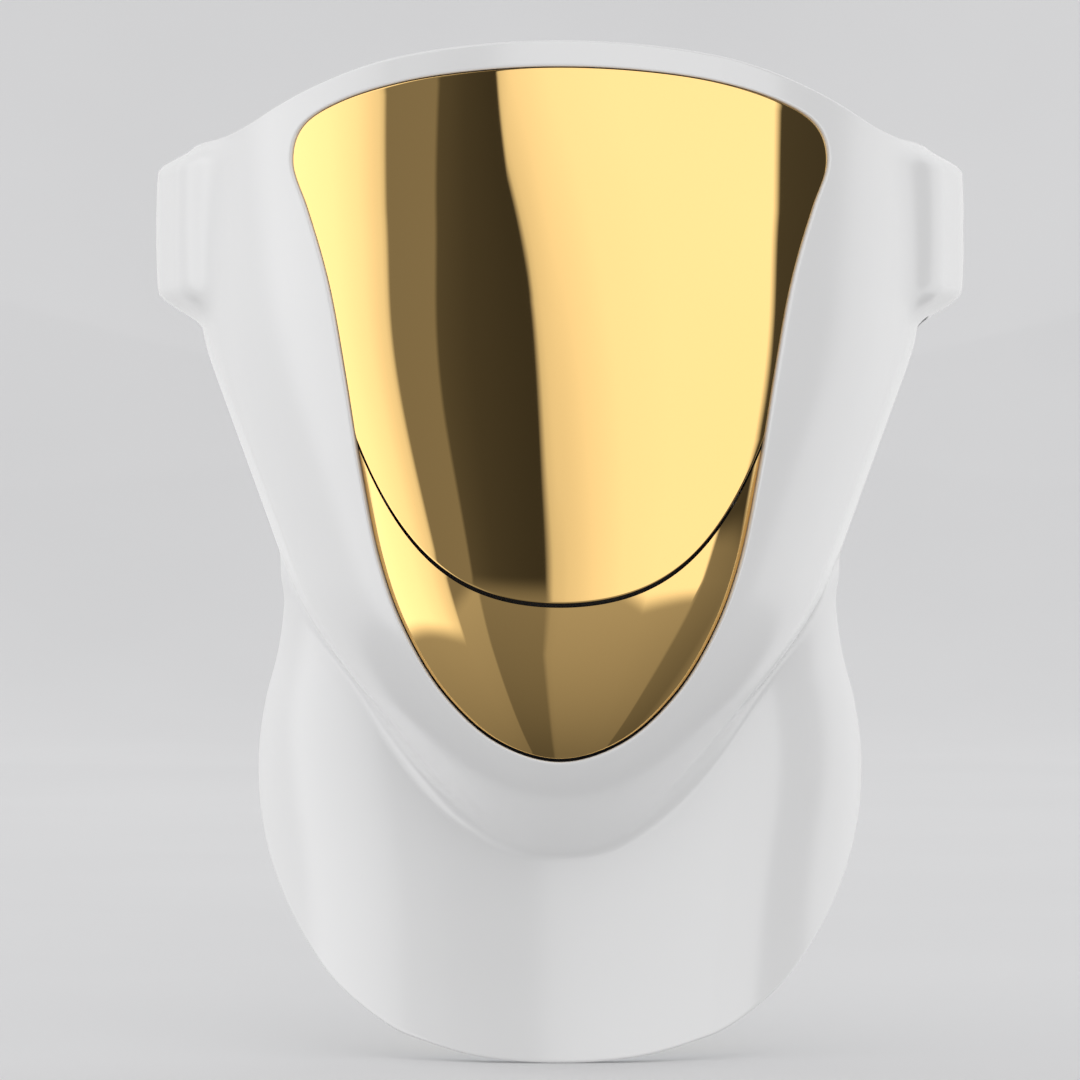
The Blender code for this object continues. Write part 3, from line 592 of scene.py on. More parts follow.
def moulded_white(name):
    """White plastic with a spark-eroded grain, for the head holder and the buttons."""
    look = Shader(name, (0.80, 0.80, 0.81), roughness=0.42)
    look.vary_colour(look.noise(20.0, 3.0), (0.775, 0.775, 0.785), (0.82, 0.82, 0.825))
    look.vary_roughness(look.noise(120.0, 3.0), 0.36, 0.5)
    look.bump(look.noise(1400.0, 3.0), 0.00004, 0.5)
    return look.material


def turned_steel():
    look = Shader("steel_turned", (0.58, 0.58, 0.60), roughness=0.3, metallic=1.0)
    look.vary_colour(look.noise(120.0, 3.0, (1.0, 6.0, 6.0)), (0.50, 0.50, 0.52), (0.66, 0.66, 0.67))
    look.vary_roughness(look.noise(300.0, 3.0, (0.4, 5.0, 5.0)), 0.2, 0.38)
    look.bump(look.noise(1500.0, 2.0, (0.2, 3.0, 3.0)), 0.00002, 0.4)
    return look.material


def plain_detail(name, colour, roughness, grain=900.0):
    """A small hidden piece: its colour with slight variation and a fine grain."""
    look = Shader(name, colour, roughness=roughness)
    light = tuple(min(1.0, c * 1.15 + 0.004) for c in colour)
    look.vary_colour(look.noise(50.0, 3.0), colour, light)
    look.vary_roughness(look.noise(150.0, 2.0), roughness * 0.85, min(1.0, roughness * 1.2))
    look.bump(look.noise(grain, 2.0), 0.00003, 0.4)
    return look.material


def give(obj, material):
    obj.data.materials.clear()
    obj.data.materials.append(material)


# ---------------------------------------------------------------- the mask's visible skin


def shell_grid(columns_half, rows):
    """Angles and heights from the visor opening to the edge, and each point's distance from both."""
    edge = resample(EDGE_RIGHT * (ANGLE_TO_LENGTH * 1.35, 1.0), columns_half) / (ANGLE_TO_LENGTH * 1.35, 1.0)
    edge = np.vstack([edge, edge[-2:0:-1] * (-1, 1)])
    visor = np.column_stack([np.degrees(phi_on_face(*VISOR_RIGHT.T)), VISOR_RIGHT[:, 1]])
    visor_angle = np.arctan2(visor[:, 0] * ANGLE_TO_LENGTH, visor[:, 1] - CENTRE_Z)
    edge_angle = np.arctan2(np.abs(edge[:, 0]) * ANGLE_TO_LENGTH, edge[:, 1] - CENTRE_Z)
    start_phi = np.interp(edge_angle, visor_angle, visor[:, 0]) * np.sign(edge[:, 0])
    start_z = np.interp(edge_angle, visor_angle, visor[:, 1])
    length = np.hypot((edge[:, 0] - start_phi) * 1.9, edge[:, 1] - start_z)
    inside = spaced_from_edges(length, [0.0, 0.12, 0.3, 0.55, 0.9, 1.4], rows)
    along = inside / length
    near_pod = smoothstep((60.0 - np.abs(edge[:, 1] + 2.0)) / 30.0)
    beside_pod = near_pod * smoothstep((np.abs(edge[:, 0]) - 40.0) / 30.0)
    rise = along + (smoothstep(along / 0.5) - along) * beside_pod
    phi = start_phi + (edge[:, 0] - start_phi) * along
    z = start_z + (edge[:, 1] - start_z) * rise
    return np.radians(phi), z, inside, length - inside


def make_shell(material):
    phi, z, from_visor, from_edge = shell_grid(300, 90)
    drop = edge_drop(from_visor, 0.9) + edge_drop(from_edge, 0.9)
    outer = outer_radius(phi, z)
    inner = outer - SHELL_WALL + drop * 0.6
    shell = add_layer("shell_skin", phi, z, outer - drop, inner, wrap=True, sharp_degrees=50)
    for outline in (
        circle(POWER_Y, 0.0, POWER_RADIUS + GAP),
        circle(MODE_Y, 0.0, MODE_RADIUS + GAP),
        circle(POWER_Y, -9.0, 1.2 + GAP),
    ):
        cut(shell, outline, 0, 110, 122)
    across, along = ring_curve(3.7, 6.3, 5.0, 48)
    port = np.column_stack([PORT_X + across, PORT_Y + along])
    cut(shell, port, 2, -29, -19)
    give(shell, material)
    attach(shell, "mask")
    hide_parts("front_shell")


def make_upper_lens(material):
    upper = VISOR_RIGHT[VISOR_RIGHT[:, 1] > crease_z(VISOR_RIGHT[:, 0]) + 2 * GAP]
    crease_x = np.linspace(upper[-1, 0], 0.0, 120)[1:]
    right = np.vstack([upper, np.column_stack([crease_x, crease_z(crease_x) + crease_gap(crease_x) + GAP])])
    outline = np.vstack([right, right[-2:0:-1] * (-1, 1)])
    centre = np.array([0.0, -30.0])
    reach = np.linalg.norm(outline - centre, axis=1)
    inside = np.concatenate([np.array([0.0, 0.1, 0.25, 0.5, 0.9])[:, None] * np.ones_like(reach),
                             0.9 + (reach - 0.9) * np.linspace(0.0, 1.0, 50)[1:, None]])
    share = (reach - GAP - inside * (reach - GAP) / reach) / reach
    points = centre + (outline - centre) * share[..., None]
    x, z = points[..., 0], points[..., 1]
    phi = phi_on_face(x, z)
    outer = outer_radius(phi, z) - LENS_SETBACK - edge_drop(inside, 0.25)
    lens = add_lens("visor_upper", phi, z, outer, wrap=True)
    give(lens, material)
    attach(lens, "mask")
    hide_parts("visor_lens")


def make_chin_lens(material):
    lower = VISOR_RIGHT[VISOR_RIGHT[:, 1] < crease_z(VISOR_RIGHT[:, 0]) - 3 * GAP]
    inset = 2 * GAP
    end_x = lower[0, 0] - 1.5 * inset
    x = np.sin(np.linspace(-1.0, 1.0, 161) * math.pi / 2) * end_x
    top = crease_z(x) - crease_gap(x)
    floor = lower[np.argsort(lower[:, 0])]
    bottom = np.minimum(np.interp(np.abs(x), floor[:, 0], floor[:, 1]) + inset * 1.5, top - 2 * GAP)
    down = np.linspace(0.0, 1.0, 60)[:, None]
    z = top + (bottom - top) * down
    x = np.broadcast_to(x, z.shape)
    phi = phi_on_face(x, z)
    outer = outer_radius(phi, z) - LENS_SETBACK - CHIN_TILT * down
    lens = add_lens("visor_chin", phi, z, outer)
    give(lens, material)
    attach(lens, "mask")
    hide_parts("chin_lens")


# ---------------------------------------------------------------- the side that the wearer sees


def panel_grid(low, high, rows, columns):
    z = np.linspace(high, low, rows)[:, None] + np.zeros(columns)
    return (edge_phi(z) - PANEL_INSET) * np.linspace(-1.0, 1.0, columns), z


def make_panel(name, node, low, high, rows, columns, material):
    """A frosted inner panel, rounded over at its edges."""
    phi, z = panel_grid(low, high, rows, columns)
    outer = panel_radius(phi, z)
    panel = add_layer(name, phi, z, outer, outer - PANEL_WALL)
    if node == "inner_panel_face":
        for side in (-1, 1):
            eye = circle(side * EYE_X, EYE_Z, EYE_HALF_HEIGHT, 96, EYE_HALF_WIDTH / EYE_HALF_HEIGHT)
            cut(panel, eye, 1, -130, -60)
            cut(panel, circle(0, 0, PIVOT_RADIUS + GAP), 0, *sorted((side * 80, side * 110)))
    give(panel, material)
    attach(panel, "mask")
    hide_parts(node)


def light_places(rows, columns):
    """Where the lights sit on a panel, as (phi, z), in the middles of its cells."""
    places = []
    for z in rows:
        reach = edge_phi(z) - PANEL_INSET
        for j in range(columns):
            places.append((reach * ((2 * j + 1) / columns - 1.0), z))
    return places


def clear_of_openings(phi, z):
    """Whether the face panel has room for a light: not in an eye cup or under a pad."""
    x = float(panel_radius(phi, z) * np.sin(phi))
    clear_of_eye = ((abs(x) - EYE_X) / 31.0) ** 2 + ((z - EYE_Z) / 21.0) ** 2 > 1.0
    clear_of_nose = abs(x) > 12.0 or not -46.0 < z < -14.0
    return abs(phi) < math.radians(54) and clear_of_eye and clear_of_nose


def add_light_domes(name, places, material):
    """The lens over every light: a low clear dome on a round foot."""
    heights = np.array([0.0, 0.0, 0.35, 0.35, 0.75, 1.1, 1.3, 1.38])
    radii = np.array([0.0, 3.5, 3.5, 2.9, 2.6, 1.9, 1.0, 0.0])
    angles = np.linspace(0.0, 2.0 * math.pi, 20, endpoint=False)
    points, faces = [], []
    for phi, z in places:
        start = len(points)
        inner = float(panel_radius(phi, z)) - PANEL_WALL + 0.15
        across = np.array([math.cos(phi), math.sin(phi), 0.0])
        inward = np.array([-math.sin(phi), math.cos(phi), 0.0])
        middle = np.array([inner * math.sin(phi), -inner * math.cos(phi), z])
        for height, radius in zip(heights, radii):
            for angle in angles:
                ring = across * math.cos(angle) + np.array([0.0, 0.0, math.sin(angle)])
                points.append(middle + inward * height + ring * radius)
        for i in range(len(heights) - 1):
            for j in range(len(angles)):
                a = start + i * len(angles) + j
                b = start + i * len(angles) + (j + 1) % len(angles)
                faces.append((a, b, b + len(angles), a + len(angles)))
    domes = add_piece(name, points, faces)
    give(domes, material)
    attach(domes, "mask")


def ring_curve(half_a, half_b, exponent, steps):
    """A superellipse of unit direction points, scaled to its half sizes."""
    angles = np.linspace(0.0, 2.0 * math.pi, steps, endpoint=False)
    power = 2.0 / exponent
    a = half_a * np.sign(np.cos(angles)) * np.abs(np.cos(angles)) ** power
    b = half_b * np.sign(np.sin(angles)) * np.abs(np.sin(angles)) ** power
    return a, b


def panel_point(x, z, depth):
    """A point at x and z, at a depth below the inner panels' outer face."""
    phi = phi_on_face(x, z)
    for _ in range(12):
        radius = panel_radius(phi, z) - depth
        phi = np.arcsin(x / radius)
    return at(phi, z, radius)


def make_eye_cup(side, material):
    """A soft cup round one eye opening, with a thin rolled lip."""
    walls = [(25.6, 0.2), (25.9, 1.2), (25.3, 4.0), (24.9, 7.0), (25.1, 8.3), (24.7, 8.9)]
    walls += [(24.2, 8.9), (23.9, 8.3)]
    walls += [(23.7, 6.0), (23.6, 3.0), (23.5, 0.2)]
    rings = []
    for reach, height in walls:
        x, z = ring_curve(reach, reach - 9.0, 2.0, 120)
        foot = panel_point(side * EYE_X + x, EYE_Z + z, PANEL_WALL + GAP)
        rings.append(foot + (0.0, height, 0.0))
    points = np.array(rings)
    count, steps = points.shape[:2]
    faces = []
    for i in range(count):
        for j in range(steps):
            a, b = i * steps + j, i * steps + (j + 1) % steps
            c, d = ((i + 1) % count) * steps + (j + 1) % steps, ((i + 1) % count) * steps + j
            faces.append((a, b, c, d))
    cup = add_piece("eye_cup_left" if side < 0 else "eye_cup_right", points, faces, 60)
    give(cup, material)
    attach(cup, "mask")
    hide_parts("eye_shield_left" if side < 0 else "eye_shield_right")


def make_pad(name, node, phi_half, low, high, thickness, gap, channels, material, trim):
    """A crowned foam pad in a sewn knit cover: rounded outline, sewn channels and a corded rim."""
    angle_steps, rings = 160, 34
    middle = (low + high) / 2
    a, b = ring_curve(math.radians(phi_half), (high - low) / 2, 3.2, angle_steps)
    share = np.sin(np.linspace(0.0, math.pi / 2, rings))[:, None]
    phi = share * a
    z = middle + share * b
    foot = panel_radius(phi, z) - PANEL_WALL - gap
    crown = np.sqrt(np.clip(1.0 - share**5, 0.0, 1.0)) + 0.0 * phi
    groove = np.zeros_like(phi)
    for place in channels:
        groove += np.exp(-((phi - math.radians(place)) * foot / 1.1) ** 2)
    inner = foot - 1.0 - thickness * crown * (1.0 - 0.34 * groove)
    pad = add_layer(name, phi, z, foot + 0.3 * crown, inner, wrap=True, sharp_degrees=60)
    give(pad, material)
    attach(pad, "mask")
    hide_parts(node)
    rim = at(phi[-1], z[-1], foot[-1] - 0.7)
    cord = add_tube(f"{name}_piping", rim, 0.75, closed=True)
    give(cord, trim)
    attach(cord, "mask")


NO_TUBE_RUNS_ALONG = np.array([0.31, 0.93, 0.19])


def add_tube(name, path, radius, closed=False, sides=10):
    """A round tube along a path of points."""
    path = np.asarray(path, float)
    if closed:
        ahead, behind = np.roll(path, -1, axis=0), np.roll(path, 1, axis=0)
    else:
        ahead, behind = np.vstack([path[1:], path[-1:]]), np.vstack([path[:1], path[:-1]])
    tangent = ahead - behind
    tangent /= np.linalg.norm(tangent, axis=1)[:, None]
    side = np.cross(tangent, NO_TUBE_RUNS_ALONG)
    side /= np.linalg.norm(side, axis=1)[:, None]
    up = np.cross(tangent, side)
    points = []
    for k in range(sides):
        turn = 2.0 * math.pi * k / sides
        points.append(path + radius * (math.cos(turn) * side + math.sin(turn) * up))
    points = np.stack(points, axis=1)
    count = len(path)
    faces = []
    for i in range(count if closed else count - 1):
        for j in range(sides):
            k = (j + 1) % sides
            n = (i + 1) % count
            faces.append((i * sides + j, i * sides + k, n * sides + k, n * sides + j))
    if not closed:
        faces += [tuple(range(sides)), tuple(range((count - 1) * sides, count * sides))]
    return add_piece(name, points, faces, 60)


# ---------------------------------------------------------------- the head holder


def band_path(steps, start=0.0):
    """Centre line of the rear band, from its left sleeve round the back to its right one, as (x, y)."""
    centre_x = ARM_INNER_X + ARM_WALL / 2
    angles = np.linspace(-math.pi / 2 + start, math.pi / 2 - start, steps)
    x = centre_x * np.sign(np.sin(angles)) * np.abs(np.sin(angles)) ** 0.85
    y = BAND_STRAIGHT_Y + (BAND_BACK_Y - BAND_STRAIGHT_Y) * np.cos(angles) ** 0.85
    return np.column_stack([x, y])


def sweep_section(name, path, offsets, heights, sharp_degrees=40):
    """A closed strip along a plan path, from a row of offsets to its side and of heights for each point."""
    tangent = np.gradient(path, axis=0)
    tangent /= np.linalg.norm(tangent, axis=1)[:, None]
    normal = np.column_stack([-tangent[:, 1], tangent[:, 0]])
    plan = path[:, None, :] + normal[:, None, :] * offsets[..., None]
    points = np.concatenate([plan, heights[..., None]], axis=2)
    count, sides = heights.shape
    faces = [tuple(range(sides)), tuple(range((count - 1) * sides, count * sides))]
    for i in range(count - 1):
        for j in range(sides):
            a, b = i * sides + j, i * sides + (j + 1) % sides
            faces.append((a, b, b + sides, a + sides))
    return add_piece(name, points, faces, sharp_degrees)


def make_rear_band(material):
    """The rear band: a rounded strip with a shallow groove down its outer face and a slot for each arm."""
    centre_x = ARM_INNER_X + ARM_WALL / 2
    left = [(-centre_x, y) for y in np.linspace(BAND_MOUTH_Y, BAND_STRAIGHT_Y - 1, 24)]
    right = [(-x, y) for x, y in left[::-1]]
    path = resample(np.vstack([left, band_path(160), right]), 320)
    across, up = ring_curve(BAND_WALL / 2, BAND_HALF_HEIGHT, 5.0, 72)
    groove = 0.5 * np.exp(-((up / 4.5) ** 6)) * (across > 0)
    offsets = np.broadcast_to(across - groove, (len(path), 72))
    heights = np.broadcast_to(up, (len(path), 72))
    band = sweep_section("rear_band_skin", path, offsets, heights)
    for side in (-1, 1):
        half_x, half_z = ARM_WALL / 2 + GAP, ARM_HALF_HEIGHT + GAP
        slot = [(side * centre_x + half_x * a, half_z * b) for a, b in ((1, 1), (-1, 1), (-1, -1), (1, -1))]
        cut(band, slot, 1, BAND_MOUTH_Y - 5, ARM_END_Y + 2)
    give(band, material)
    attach(band, "rear_holder")
    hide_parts("rear_band")


def make_rear_pad(material, trim):
    """The pad behind the head: a long knit cushion with sewn channels and a corded rim."""
    path = band_path(200, start=0.75)
    share = np.linspace(-1.0, 1.0, len(path))
    fade = np.sqrt(np.clip(1.0 - np.abs(share) ** 5, 0.0, 1.0))
    sides = 72
    turn = np.linspace(0.0, 2.0 * math.pi, sides, endpoint=False)
    across = np.sign(np.cos(turn)) * np.abs(np.cos(turn)) ** 0.8
    up = np.sign(np.sin(turn)) * np.abs(np.sin(turn)) ** 0.7
    channels = np.zeros(len(path))
    for place in (-0.66, -0.33, 0.0, 0.33, 0.66):
        channels += np.exp(-(((share - place) / 0.013) ** 2))
    foot = -BAND_WALL / 2 - GAP
    depth = 3.0 + 7.0 * fade * (1.0 - 0.30 * channels)
    half_height = 11.5 + 8.0 * fade
    inward = np.clip(-across, 0.0, 1.0)
    offsets = foot - 1.2 + np.where(across > 0, 1.2 * across, 0.0) - (depth[:, None] - 1.2) * inward
    heights = half_height[:, None] * up
    pad = sweep_section("rear_cushion", path, offsets, heights, 60)
    give(pad, material)
    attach(pad, "rear_holder")
    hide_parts("rear_pad")
    tangent = np.gradient(path, axis=0)
    tangent /= np.linalg.norm(tangent, axis=1)[:, None]
    normal = np.column_stack([-tangent[:, 1], tangent[:, 0]])
    seam = path + normal * (foot - 1.2)
    top = np.column_stack([seam, half_height])
    bottom = np.column_stack([seam, -half_height])[::-1]
    loop = resample(np.vstack([top, bottom, top[:1]]), 500)[:-1]
    cord = add_tube("rear_cushion_piping", loop, 0.8, closed=True)
    give(cord, trim)
    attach(cord, "rear_holder")


def make_button(name, y, radius, dish, material):
    """A turned push button with a rounded rim and a dished face."""
    steps = [(109.4, radius - 1.5), (111.6, radius - 1.5), (111.6, radius + 1.2), (112.8, radius + 1.2)]
    steps += [(112.8, radius), (116.5, radius), (116.8, radius - 0.08), (117.02, radius - 0.3)]
    steps += [(117.1, radius - 0.6)]
    for share in (0.8, 0.55, 0.3, 0.1, 0.0):
        steps.append((117.1 - dish * (1.0 - share**2), (radius - 0.6) * share))
    angles = np.linspace(0.0, 2.0 * math.pi, BUTTON_SIDES, endpoint=False)
    points = []
    for x, reach in steps:
        for angle in angles:
            points.append((x, y + reach * math.cos(angle), reach * math.sin(angle)))
    faces = [tuple(range(BUTTON_SIDES))]
    for i in range(len(steps) - 1):
        for j in range(BUTTON_SIDES):
            a, b = i * BUTTON_SIDES + j, i * BUTTON_SIDES + (j + 1) % BUTTON_SIDES
            faces.append((a, b, b + BUTTON_SIDES, a + BUTTON_SIDES))
    button = add_piece(f"{name}_cap", points, faces, 30)
    give(button, material)
    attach(button, name)
    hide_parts(name)


# ---------------------------------------------------------------- stage, light and camera


def make_floor():
    """A pale studio floor that turns up into a round backdrop. Only the camera sees it."""
    section = [(0.0, 0.0), (0.5, 0.0), (1.1, 0.0), (1.9, 0.0)]
    for k in range(1, 13):
        turn = math.pi / 2 * k / 12
        section.append((1.9 + 0.9 * math.sin(turn), 0.9 * (1.0 - math.cos(turn))))
    section.append((2.8, 3.5))
    count = 96
    points = []
    for radius, height in section:
        for a, b in circle(0.0, 0.0, radius, count):
            points.append((a / MM, b / MM, (cad_box[0][2] + height - 0.0002) / MM))
    faces = []
    for i in range(len(section) - 1):
        for j in range(count):
            a, b = i * count + j, i * count + (j + 1) % count
            faces.append((a, b, b + count, a + count))
    floor = add_piece("studio_floor", points, faces)
    floor.data.flip_normals()
    floor.visible_diffuse = False
    floor.visible_glossy = False
    floor.visible_transmission = False
    floor.visible_shadow = False
    look = Shader("floor_pale", (0.76, 0.76, 0.77), roughness=0.8)
    look.vary_colour(look.noise(3.0, 4.0), (0.75, 0.75, 0.76), (0.77, 0.77, 0.78))
    look.bump(look.noise(300.0, 3.0), 0.0001, 0.2)
    give(floor, look.material)


# What the mirror sees round the studio: degrees right of the camera, the brightness above the horizon,
# the horizon in degrees, and the brightness below it.
STUDIO = [
    (-180, 0.80, -24, 0.34), (-140, 0.80, -24, 0.34), (-110, 0.85, -24, 0.34), (-98, 1.60, -27.5, 0.42),
    (-71, 1.38, -27.5, 0.44), (-60, 1.18, -27.5, 0.44), (-54.5, 0.98, -27.5, 0.44),
    (-50.9, 0.88, -27.5, 0.44),
    (-49.5, 0.215, -22, 0.44), (-32.2, 0.225, -16, 0.42), (-31, 0.085, -14, 0.23), (-20, 0.06, -14, 0.23),
    (-2.3, 0.042, -14, 0.23), (-1.3, 0.80, -17, 0.42), (6, 1.02, -17, 0.42), (16, 1.17, -17, 0.42),
    (34, 1.22, -20.5, 0.42), (74, 1.24, -20.5, 0.40), (75.2, 0.062, -12, 0.24), (98, 0.05, -12, 0.2),
    (108, 0.80, -20, 0.3), (146, 0.80, -20, 0.3), (180, 0.80, -24, 0.34),
]
STUDIO_TOP = 2.0

# The soft fill: its base brightness, its growth along a direction and towards both sides, and the backdrop.
FILL = 0.595
FILL_TILT = (0.02, -0.12, 0.13)
FILL_SIDES = 0.6
BACKDROP = 0.62

# The two rim lights: degrees round from the camera, degrees up, and strength.
RIM_TURN = 138
RIM_HEIGHT = 12
RIM_STRENGTH = 0.65


class World:
    """The studio's surroundings as a node tree, with short calls for its maths."""

    def __init__(self):
        world = bpy.data.worlds.new("studio")
        bpy.context.scene.world = world
        world.use_nodes = True
        self.tree = world.node_tree
        self.nodes = self.tree.nodes
        self.direction = self.nodes.new("ShaderNodeTexCoord").outputs["Generated"]

    def connect(self, value, socket):
        if isinstance(value, (int, float)):
            socket.default_value = value
        else:
            self.tree.links.new(value, socket)

    def math(self, operation, *values):
        node = self.nodes.new("ShaderNodeMath")
        node.operation = operation
        for value, socket in zip(values, node.inputs):
            self.connect(value, socket)
        return node.outputs["Value"]

    def map(self, value, from_low, from_high, to_low=0.0, to_high=1.0, smooth=False):
        node = self.nodes.new("ShaderNodeMapRange")
        node.interpolation_type = "SMOOTHSTEP" if smooth else "LINEAR"
        for name, number in (
            ("From Min", from_low), ("From Max", from_high), ("To Min", to_low), ("To Max", to_high)
        ):
            self.connect(number, node.inputs[name])
        self.connect(value, node.inputs["Value"])
        return node.outputs["Result"]

    def background(self, strength, colour=(1.0, 1.0, 1.0)):
        node = self.nodes.new("ShaderNodeBackground")
        node.inputs["Color"].default_value = (*colour, 1.0)
        self.connect(strength, node.inputs["Strength"])
        return node.outputs["Background"]

    def pick(self, fact, otherwise, chosen):
        node = self.nodes.new("ShaderNodeMixShader")
        self.connect(fact, node.inputs["Fac"])
        self.connect(otherwise, node.inputs[1])
        self.connect(chosen, node.inputs[2])
        return node.outputs["Shader"]


def left_lean(world, turn, z):
    """How far the bands left of the camera slant, in radians."""
    share = world.map(turn, math.radians(-35), math.radians(-8), math.radians(7.8), math.radians(2))
    return world.math("MULTIPLY", share, world.math("TANH", world.math("MULTIPLY", z, 3.0)))


def middle_lean(world, turn, z):
    """How far the band edge straight ahead swings to the left, high up and low down."""
    start = world.map(turn, math.radians(-35), math.radians(-15), 0.0, math.radians(31))
    stop = world.map(turn, math.radians(20), math.radians(45), 1.0, 0.0)
    cubed = world.math("POWER", world.math("ABSOLUTE", world.math("MAXIMUM", z, -0.45)), 3.0)
    return world.math("MULTIPLY", world.math("MULTIPLY", start, stop), cubed)


def right_lean(world, turn, z):
    """How far the flag on the right swings inwards low down."""
    share = world.map(turn, math.radians(20), math.radians(55), 0.0, math.radians(-35))
    return world.math("MULTIPLY", share, world.math("MINIMUM", z, 0.0))


def studio_reflection(world):
    """Brightness of the soft boxes and dark flags by direction: upright bands that lean a little."""
    split = world.nodes.new("ShaderNodeSeparateXYZ")
    world.connect(world.direction, split.inputs[0])
    x, y, z = split.outputs
    turn = world.math("ARCTAN2", x, world.math("MULTIPLY", y, -1.0))
    lean = world.math("ADD", left_lean(world, turn, z), middle_lean(world, turn, z))
    lean = world.math("ADD", lean, right_lean(world, turn, z))
    turn = world.map(world.math("ADD", turn, lean), -math.pi, math.pi)
    ramp = world.nodes.new("ShaderNodeValToRGB")
    elements = ramp.color_ramp.elements
    while len(elements) < len(STUDIO):
        elements.new(0.5)
    for element, (degrees, above, horizon, below) in zip(elements, STUDIO):
        element.position = (degrees + 180) / 360
        level = 0.5 + 0.5 * math.sin(math.radians(horizon))
        element.color = (above / STUDIO_TOP, level, below / STUDIO_TOP, 1.0)
    world.connect(turn, ramp.inputs["Fac"])
    colours = world.nodes.new("ShaderNodeSeparateColor")
    world.connect(ramp.outputs["Color"], colours.inputs["Color"])
    above, level, below = colours.outputs
    level = world.map(level, 0.0, 1.0, -1.0, 1.0)
    raised = world.map(
        z, world.math("SUBTRACT", level, 0.035), world.math("ADD", level, 0.035), smooth=True
    )
    below = world.math("MULTIPLY", below, world.map(z, -0.9, -0.3, 0.45, 1.0))
    difference = world.math("SUBTRACT", above, below)
    blended = world.math("ADD", below, world.math("MULTIPLY", raised, difference))
    return world.math("MULTIPLY", blended, STUDIO_TOP)


def studio_fill(world):
    """The soft light that the matt surfaces get: a little more from above, the front and both sides."""
    tilt = world.nodes.new("ShaderNodeVectorMath")
    tilt.operation = "DOT_PRODUCT"
    world.connect(world.direction, tilt.inputs[0])
    tilt.inputs[1].default_value = FILL_TILT
    across = world.nodes.new("ShaderNodeSeparateXYZ")
    world.connect(world.direction, across.inputs["Vector"])
    sideways = world.math("POWER", world.math("ABSOLUTE", across.outputs["X"]), 4.0)
    sides = world.math("MULTIPLY", sideways, FILL_SIDES)
    return world.math("ADD", world.math("ADD", tilt.outputs["Value"], sides), FILL)


def make_world():
    world = World()
    rays = world.nodes.new("ShaderNodeLightPath").outputs
    lit = world.pick(rays["Is Diffuse Ray"], world.background(studio_reflection(world)),
                     world.background(studio_fill(world)))
    shown = world.pick(rays["Is Camera Ray"], lit, world.background(BACKDROP))
    world.connect(shown, world.nodes["World Output"].inputs["Surface"])


def add_rim_light(name, turn):
    """A broad soft light from behind the object, turn degrees to the right of the camera."""
    light = bpy.data.lights.new(name, "SUN")
    light.energy = RIM_STRENGTH
    light.angle = math.radians(40)
    obj = bpy.data.objects.new(name, light)
    turn, height = math.radians(turn), math.radians(RIM_HEIGHT)
    place = Vector((math.sin(turn) * math.cos(height), -math.cos(turn) * math.cos(height), math.sin(height)))
    obj.rotation_euler = place.to_track_quat("Z", "Y").to_euler()
    obj.visible_glossy = False
    bpy.context.scene.collection.objects.link(obj)


def make_lights():
    add_rim_light("rim_left", -RIM_TURN)
    add_rim_light("rim_right", RIM_TURN)


def make_camera():
    camera = bpy.data.cameras.new("camera")
    camera.sensor_width = SENSOR
    camera.lens = SENSOR * CAMERA_DISTANCE / VIEW_WIDTH
    camera.shift_x = -VIEW_SHIFT
    camera.clip_end = 20.0
    obj = bpy.data.objects.new("camera", camera)
    obj.location = (0.0, -CAMERA_DISTANCE, CAMERA_HEIGHT)
    obj.rotation_euler = (math.pi / 2, 0.0, 0.0)
    bpy.context.scene.collection.objects.link(obj)
    bpy.context.scene.camera = obj
    bpy.context.scene.view_settings.view_transform = "Standard"


def make_materials():
    return {
        "shell": shell_plastic(),
        "gold_mirror": gold_mirror(),
        "black_seal": soft_rubber("seal_black", (0.015, 0.015, 0.017)),
        "panel": frosted_panel(),
        "light_board": plain_detail("board_white", (0.78, 0.78, 0.76), 0.5),
        "ribbon": plain_detail("ribbon_film", (0.55, 0.26, 0.05), 0.35),
        "foam": knit_fabric(),
        "eye_cup": soft_rubber("eye_cup_silicone", (0.022, 0.022, 0.025)),
        "battery": plain_detail("battery_wrap", (0.05, 0.12, 0.35), 0.4),
        "circuit": plain_detail("circuit_green", (0.012, 0.14, 0.06), 0.45),
        "steel": turned_steel(),
        "light_pipe": plain_detail("light_pipe", (0.55, 0.85, 0.65), 0.2),
        "port_trim": plain_detail("port_trim", (0.015, 0.015, 0.017), 0.5),
        "button": moulded_white("button_white"),
        "holder": moulded_white("holder_white"),
    }


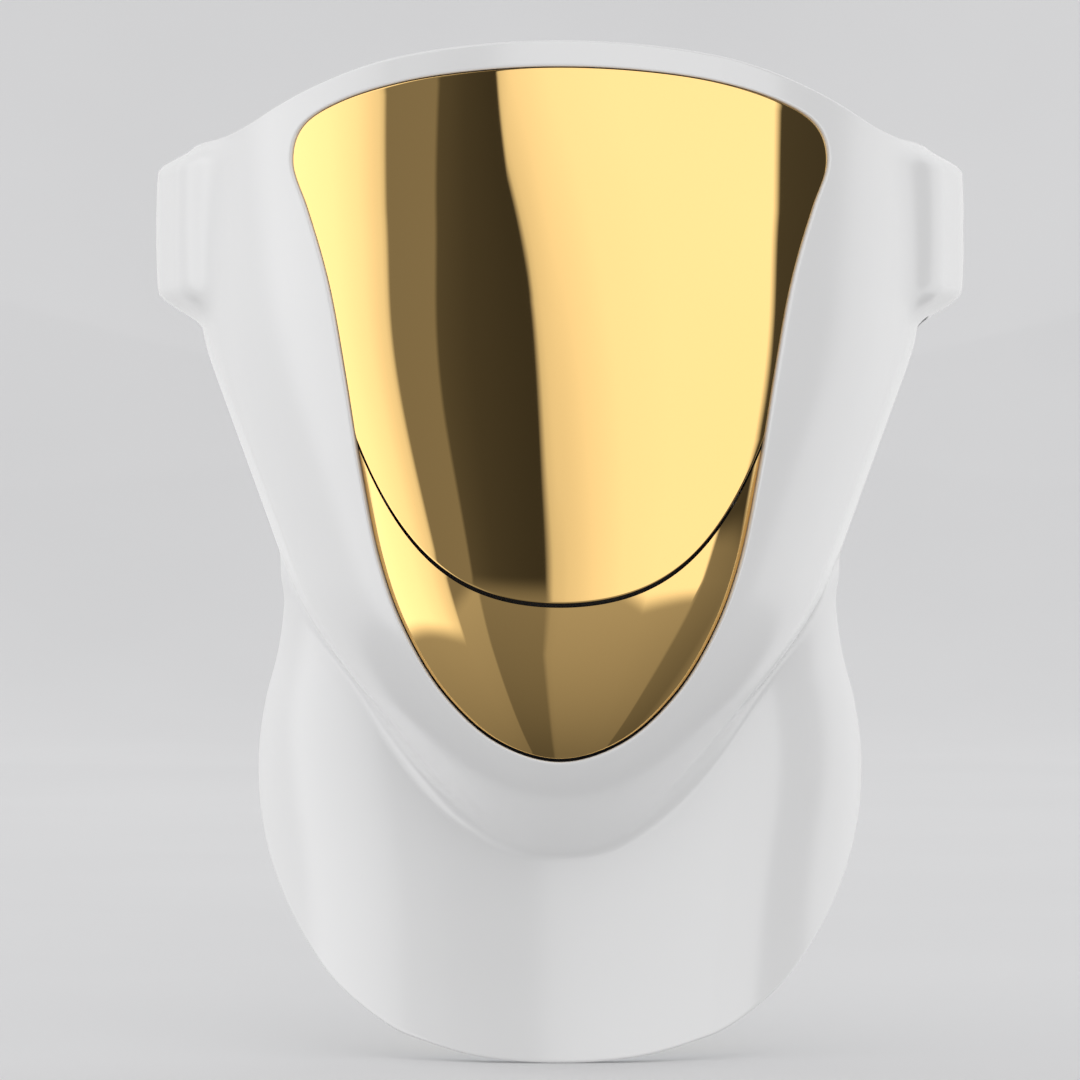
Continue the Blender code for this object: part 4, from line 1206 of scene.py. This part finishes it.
def finish_cad_nodes(materials):
    """A finished material for every CAD node that stays visible, and a small radius on its edges."""
    for part in frame["record"]["subparts"]:
        node = frame["nodes"][part["node"]]
        give(node, materials[part["material_slot"]])
        bevel = node.modifiers.new("edge_radius", "BEVEL")
        bevel.width = EDGE_RADIUS * MM
        bevel.segments = 2
        bevel.limit_method = "ANGLE"
        bevel.angle_limit = math.radians(40)
        bevel.harden_normals = True


def make_skin(materials):
    make_shell(materials["shell"])
    make_upper_lens(materials["gold_mirror"])
    make_chin_lens(materials["gold_mirror"])


def make_lining(materials):
    make_panel("panel_face_skin", "inner_panel_face", -150.0, 46.4, 84, 140, materials["panel"])
    make_panel("panel_neck_skin", "inner_panel_neck", -233.4, -150.5, 40, 120, materials["panel"])
    domes = dome_lens()
    face = light_places([0.5 - 13.0 * k for k in range(9)] + [11.5], 22)
    add_light_domes("face_lights", [p for p in face if clear_of_openings(*p)], domes)
    neck = light_places([-173.5, -182.0, -192.5, -203.5, -214.0], 16)
    neck = [(phi, z) for phi, z in neck if abs(phi) < math.radians(50)]
    add_light_domes("neck_lights", neck, domes)
    for side in (-1, 1):
        make_eye_cup(side, materials["eye_cup"])
    trim = soft_rubber("piping_black", (0.02, 0.02, 0.022))
    foam = materials["foam"]
    make_pad("forehead_cushion", "forehead_pad", 26.0, 21.0, 35.0, 6.0, 6 * GAP, (-13, 0, 13), foam, trim)
    make_pad("nose_cushion", "nose_pad", 4.0, -40.0, -20.0, 9.0, 2 * GAP, (), foam, trim)
    make_pad("chin_cushion", "chin_pad", 12.0, -134.0, -124.0, 5.0, 5 * GAP, (0,), foam, trim)


def make_holder(materials):
    make_rear_band(materials["holder"])
    make_rear_pad(materials["foam"], soft_rubber("rear_piping_black", (0.02, 0.02, 0.022)))
    make_button("power_button", POWER_Y, POWER_RADIUS, POWER_DISH, materials["button"])
    make_button("mode_button", MODE_Y, MODE_RADIUS, 0.0, materials["button"])


make_camera()
looks = make_materials()
finish_cad_nodes(looks)
make_skin(looks)
make_lining(looks)
make_holder(looks)
make_floor()
make_world()
make_lights()
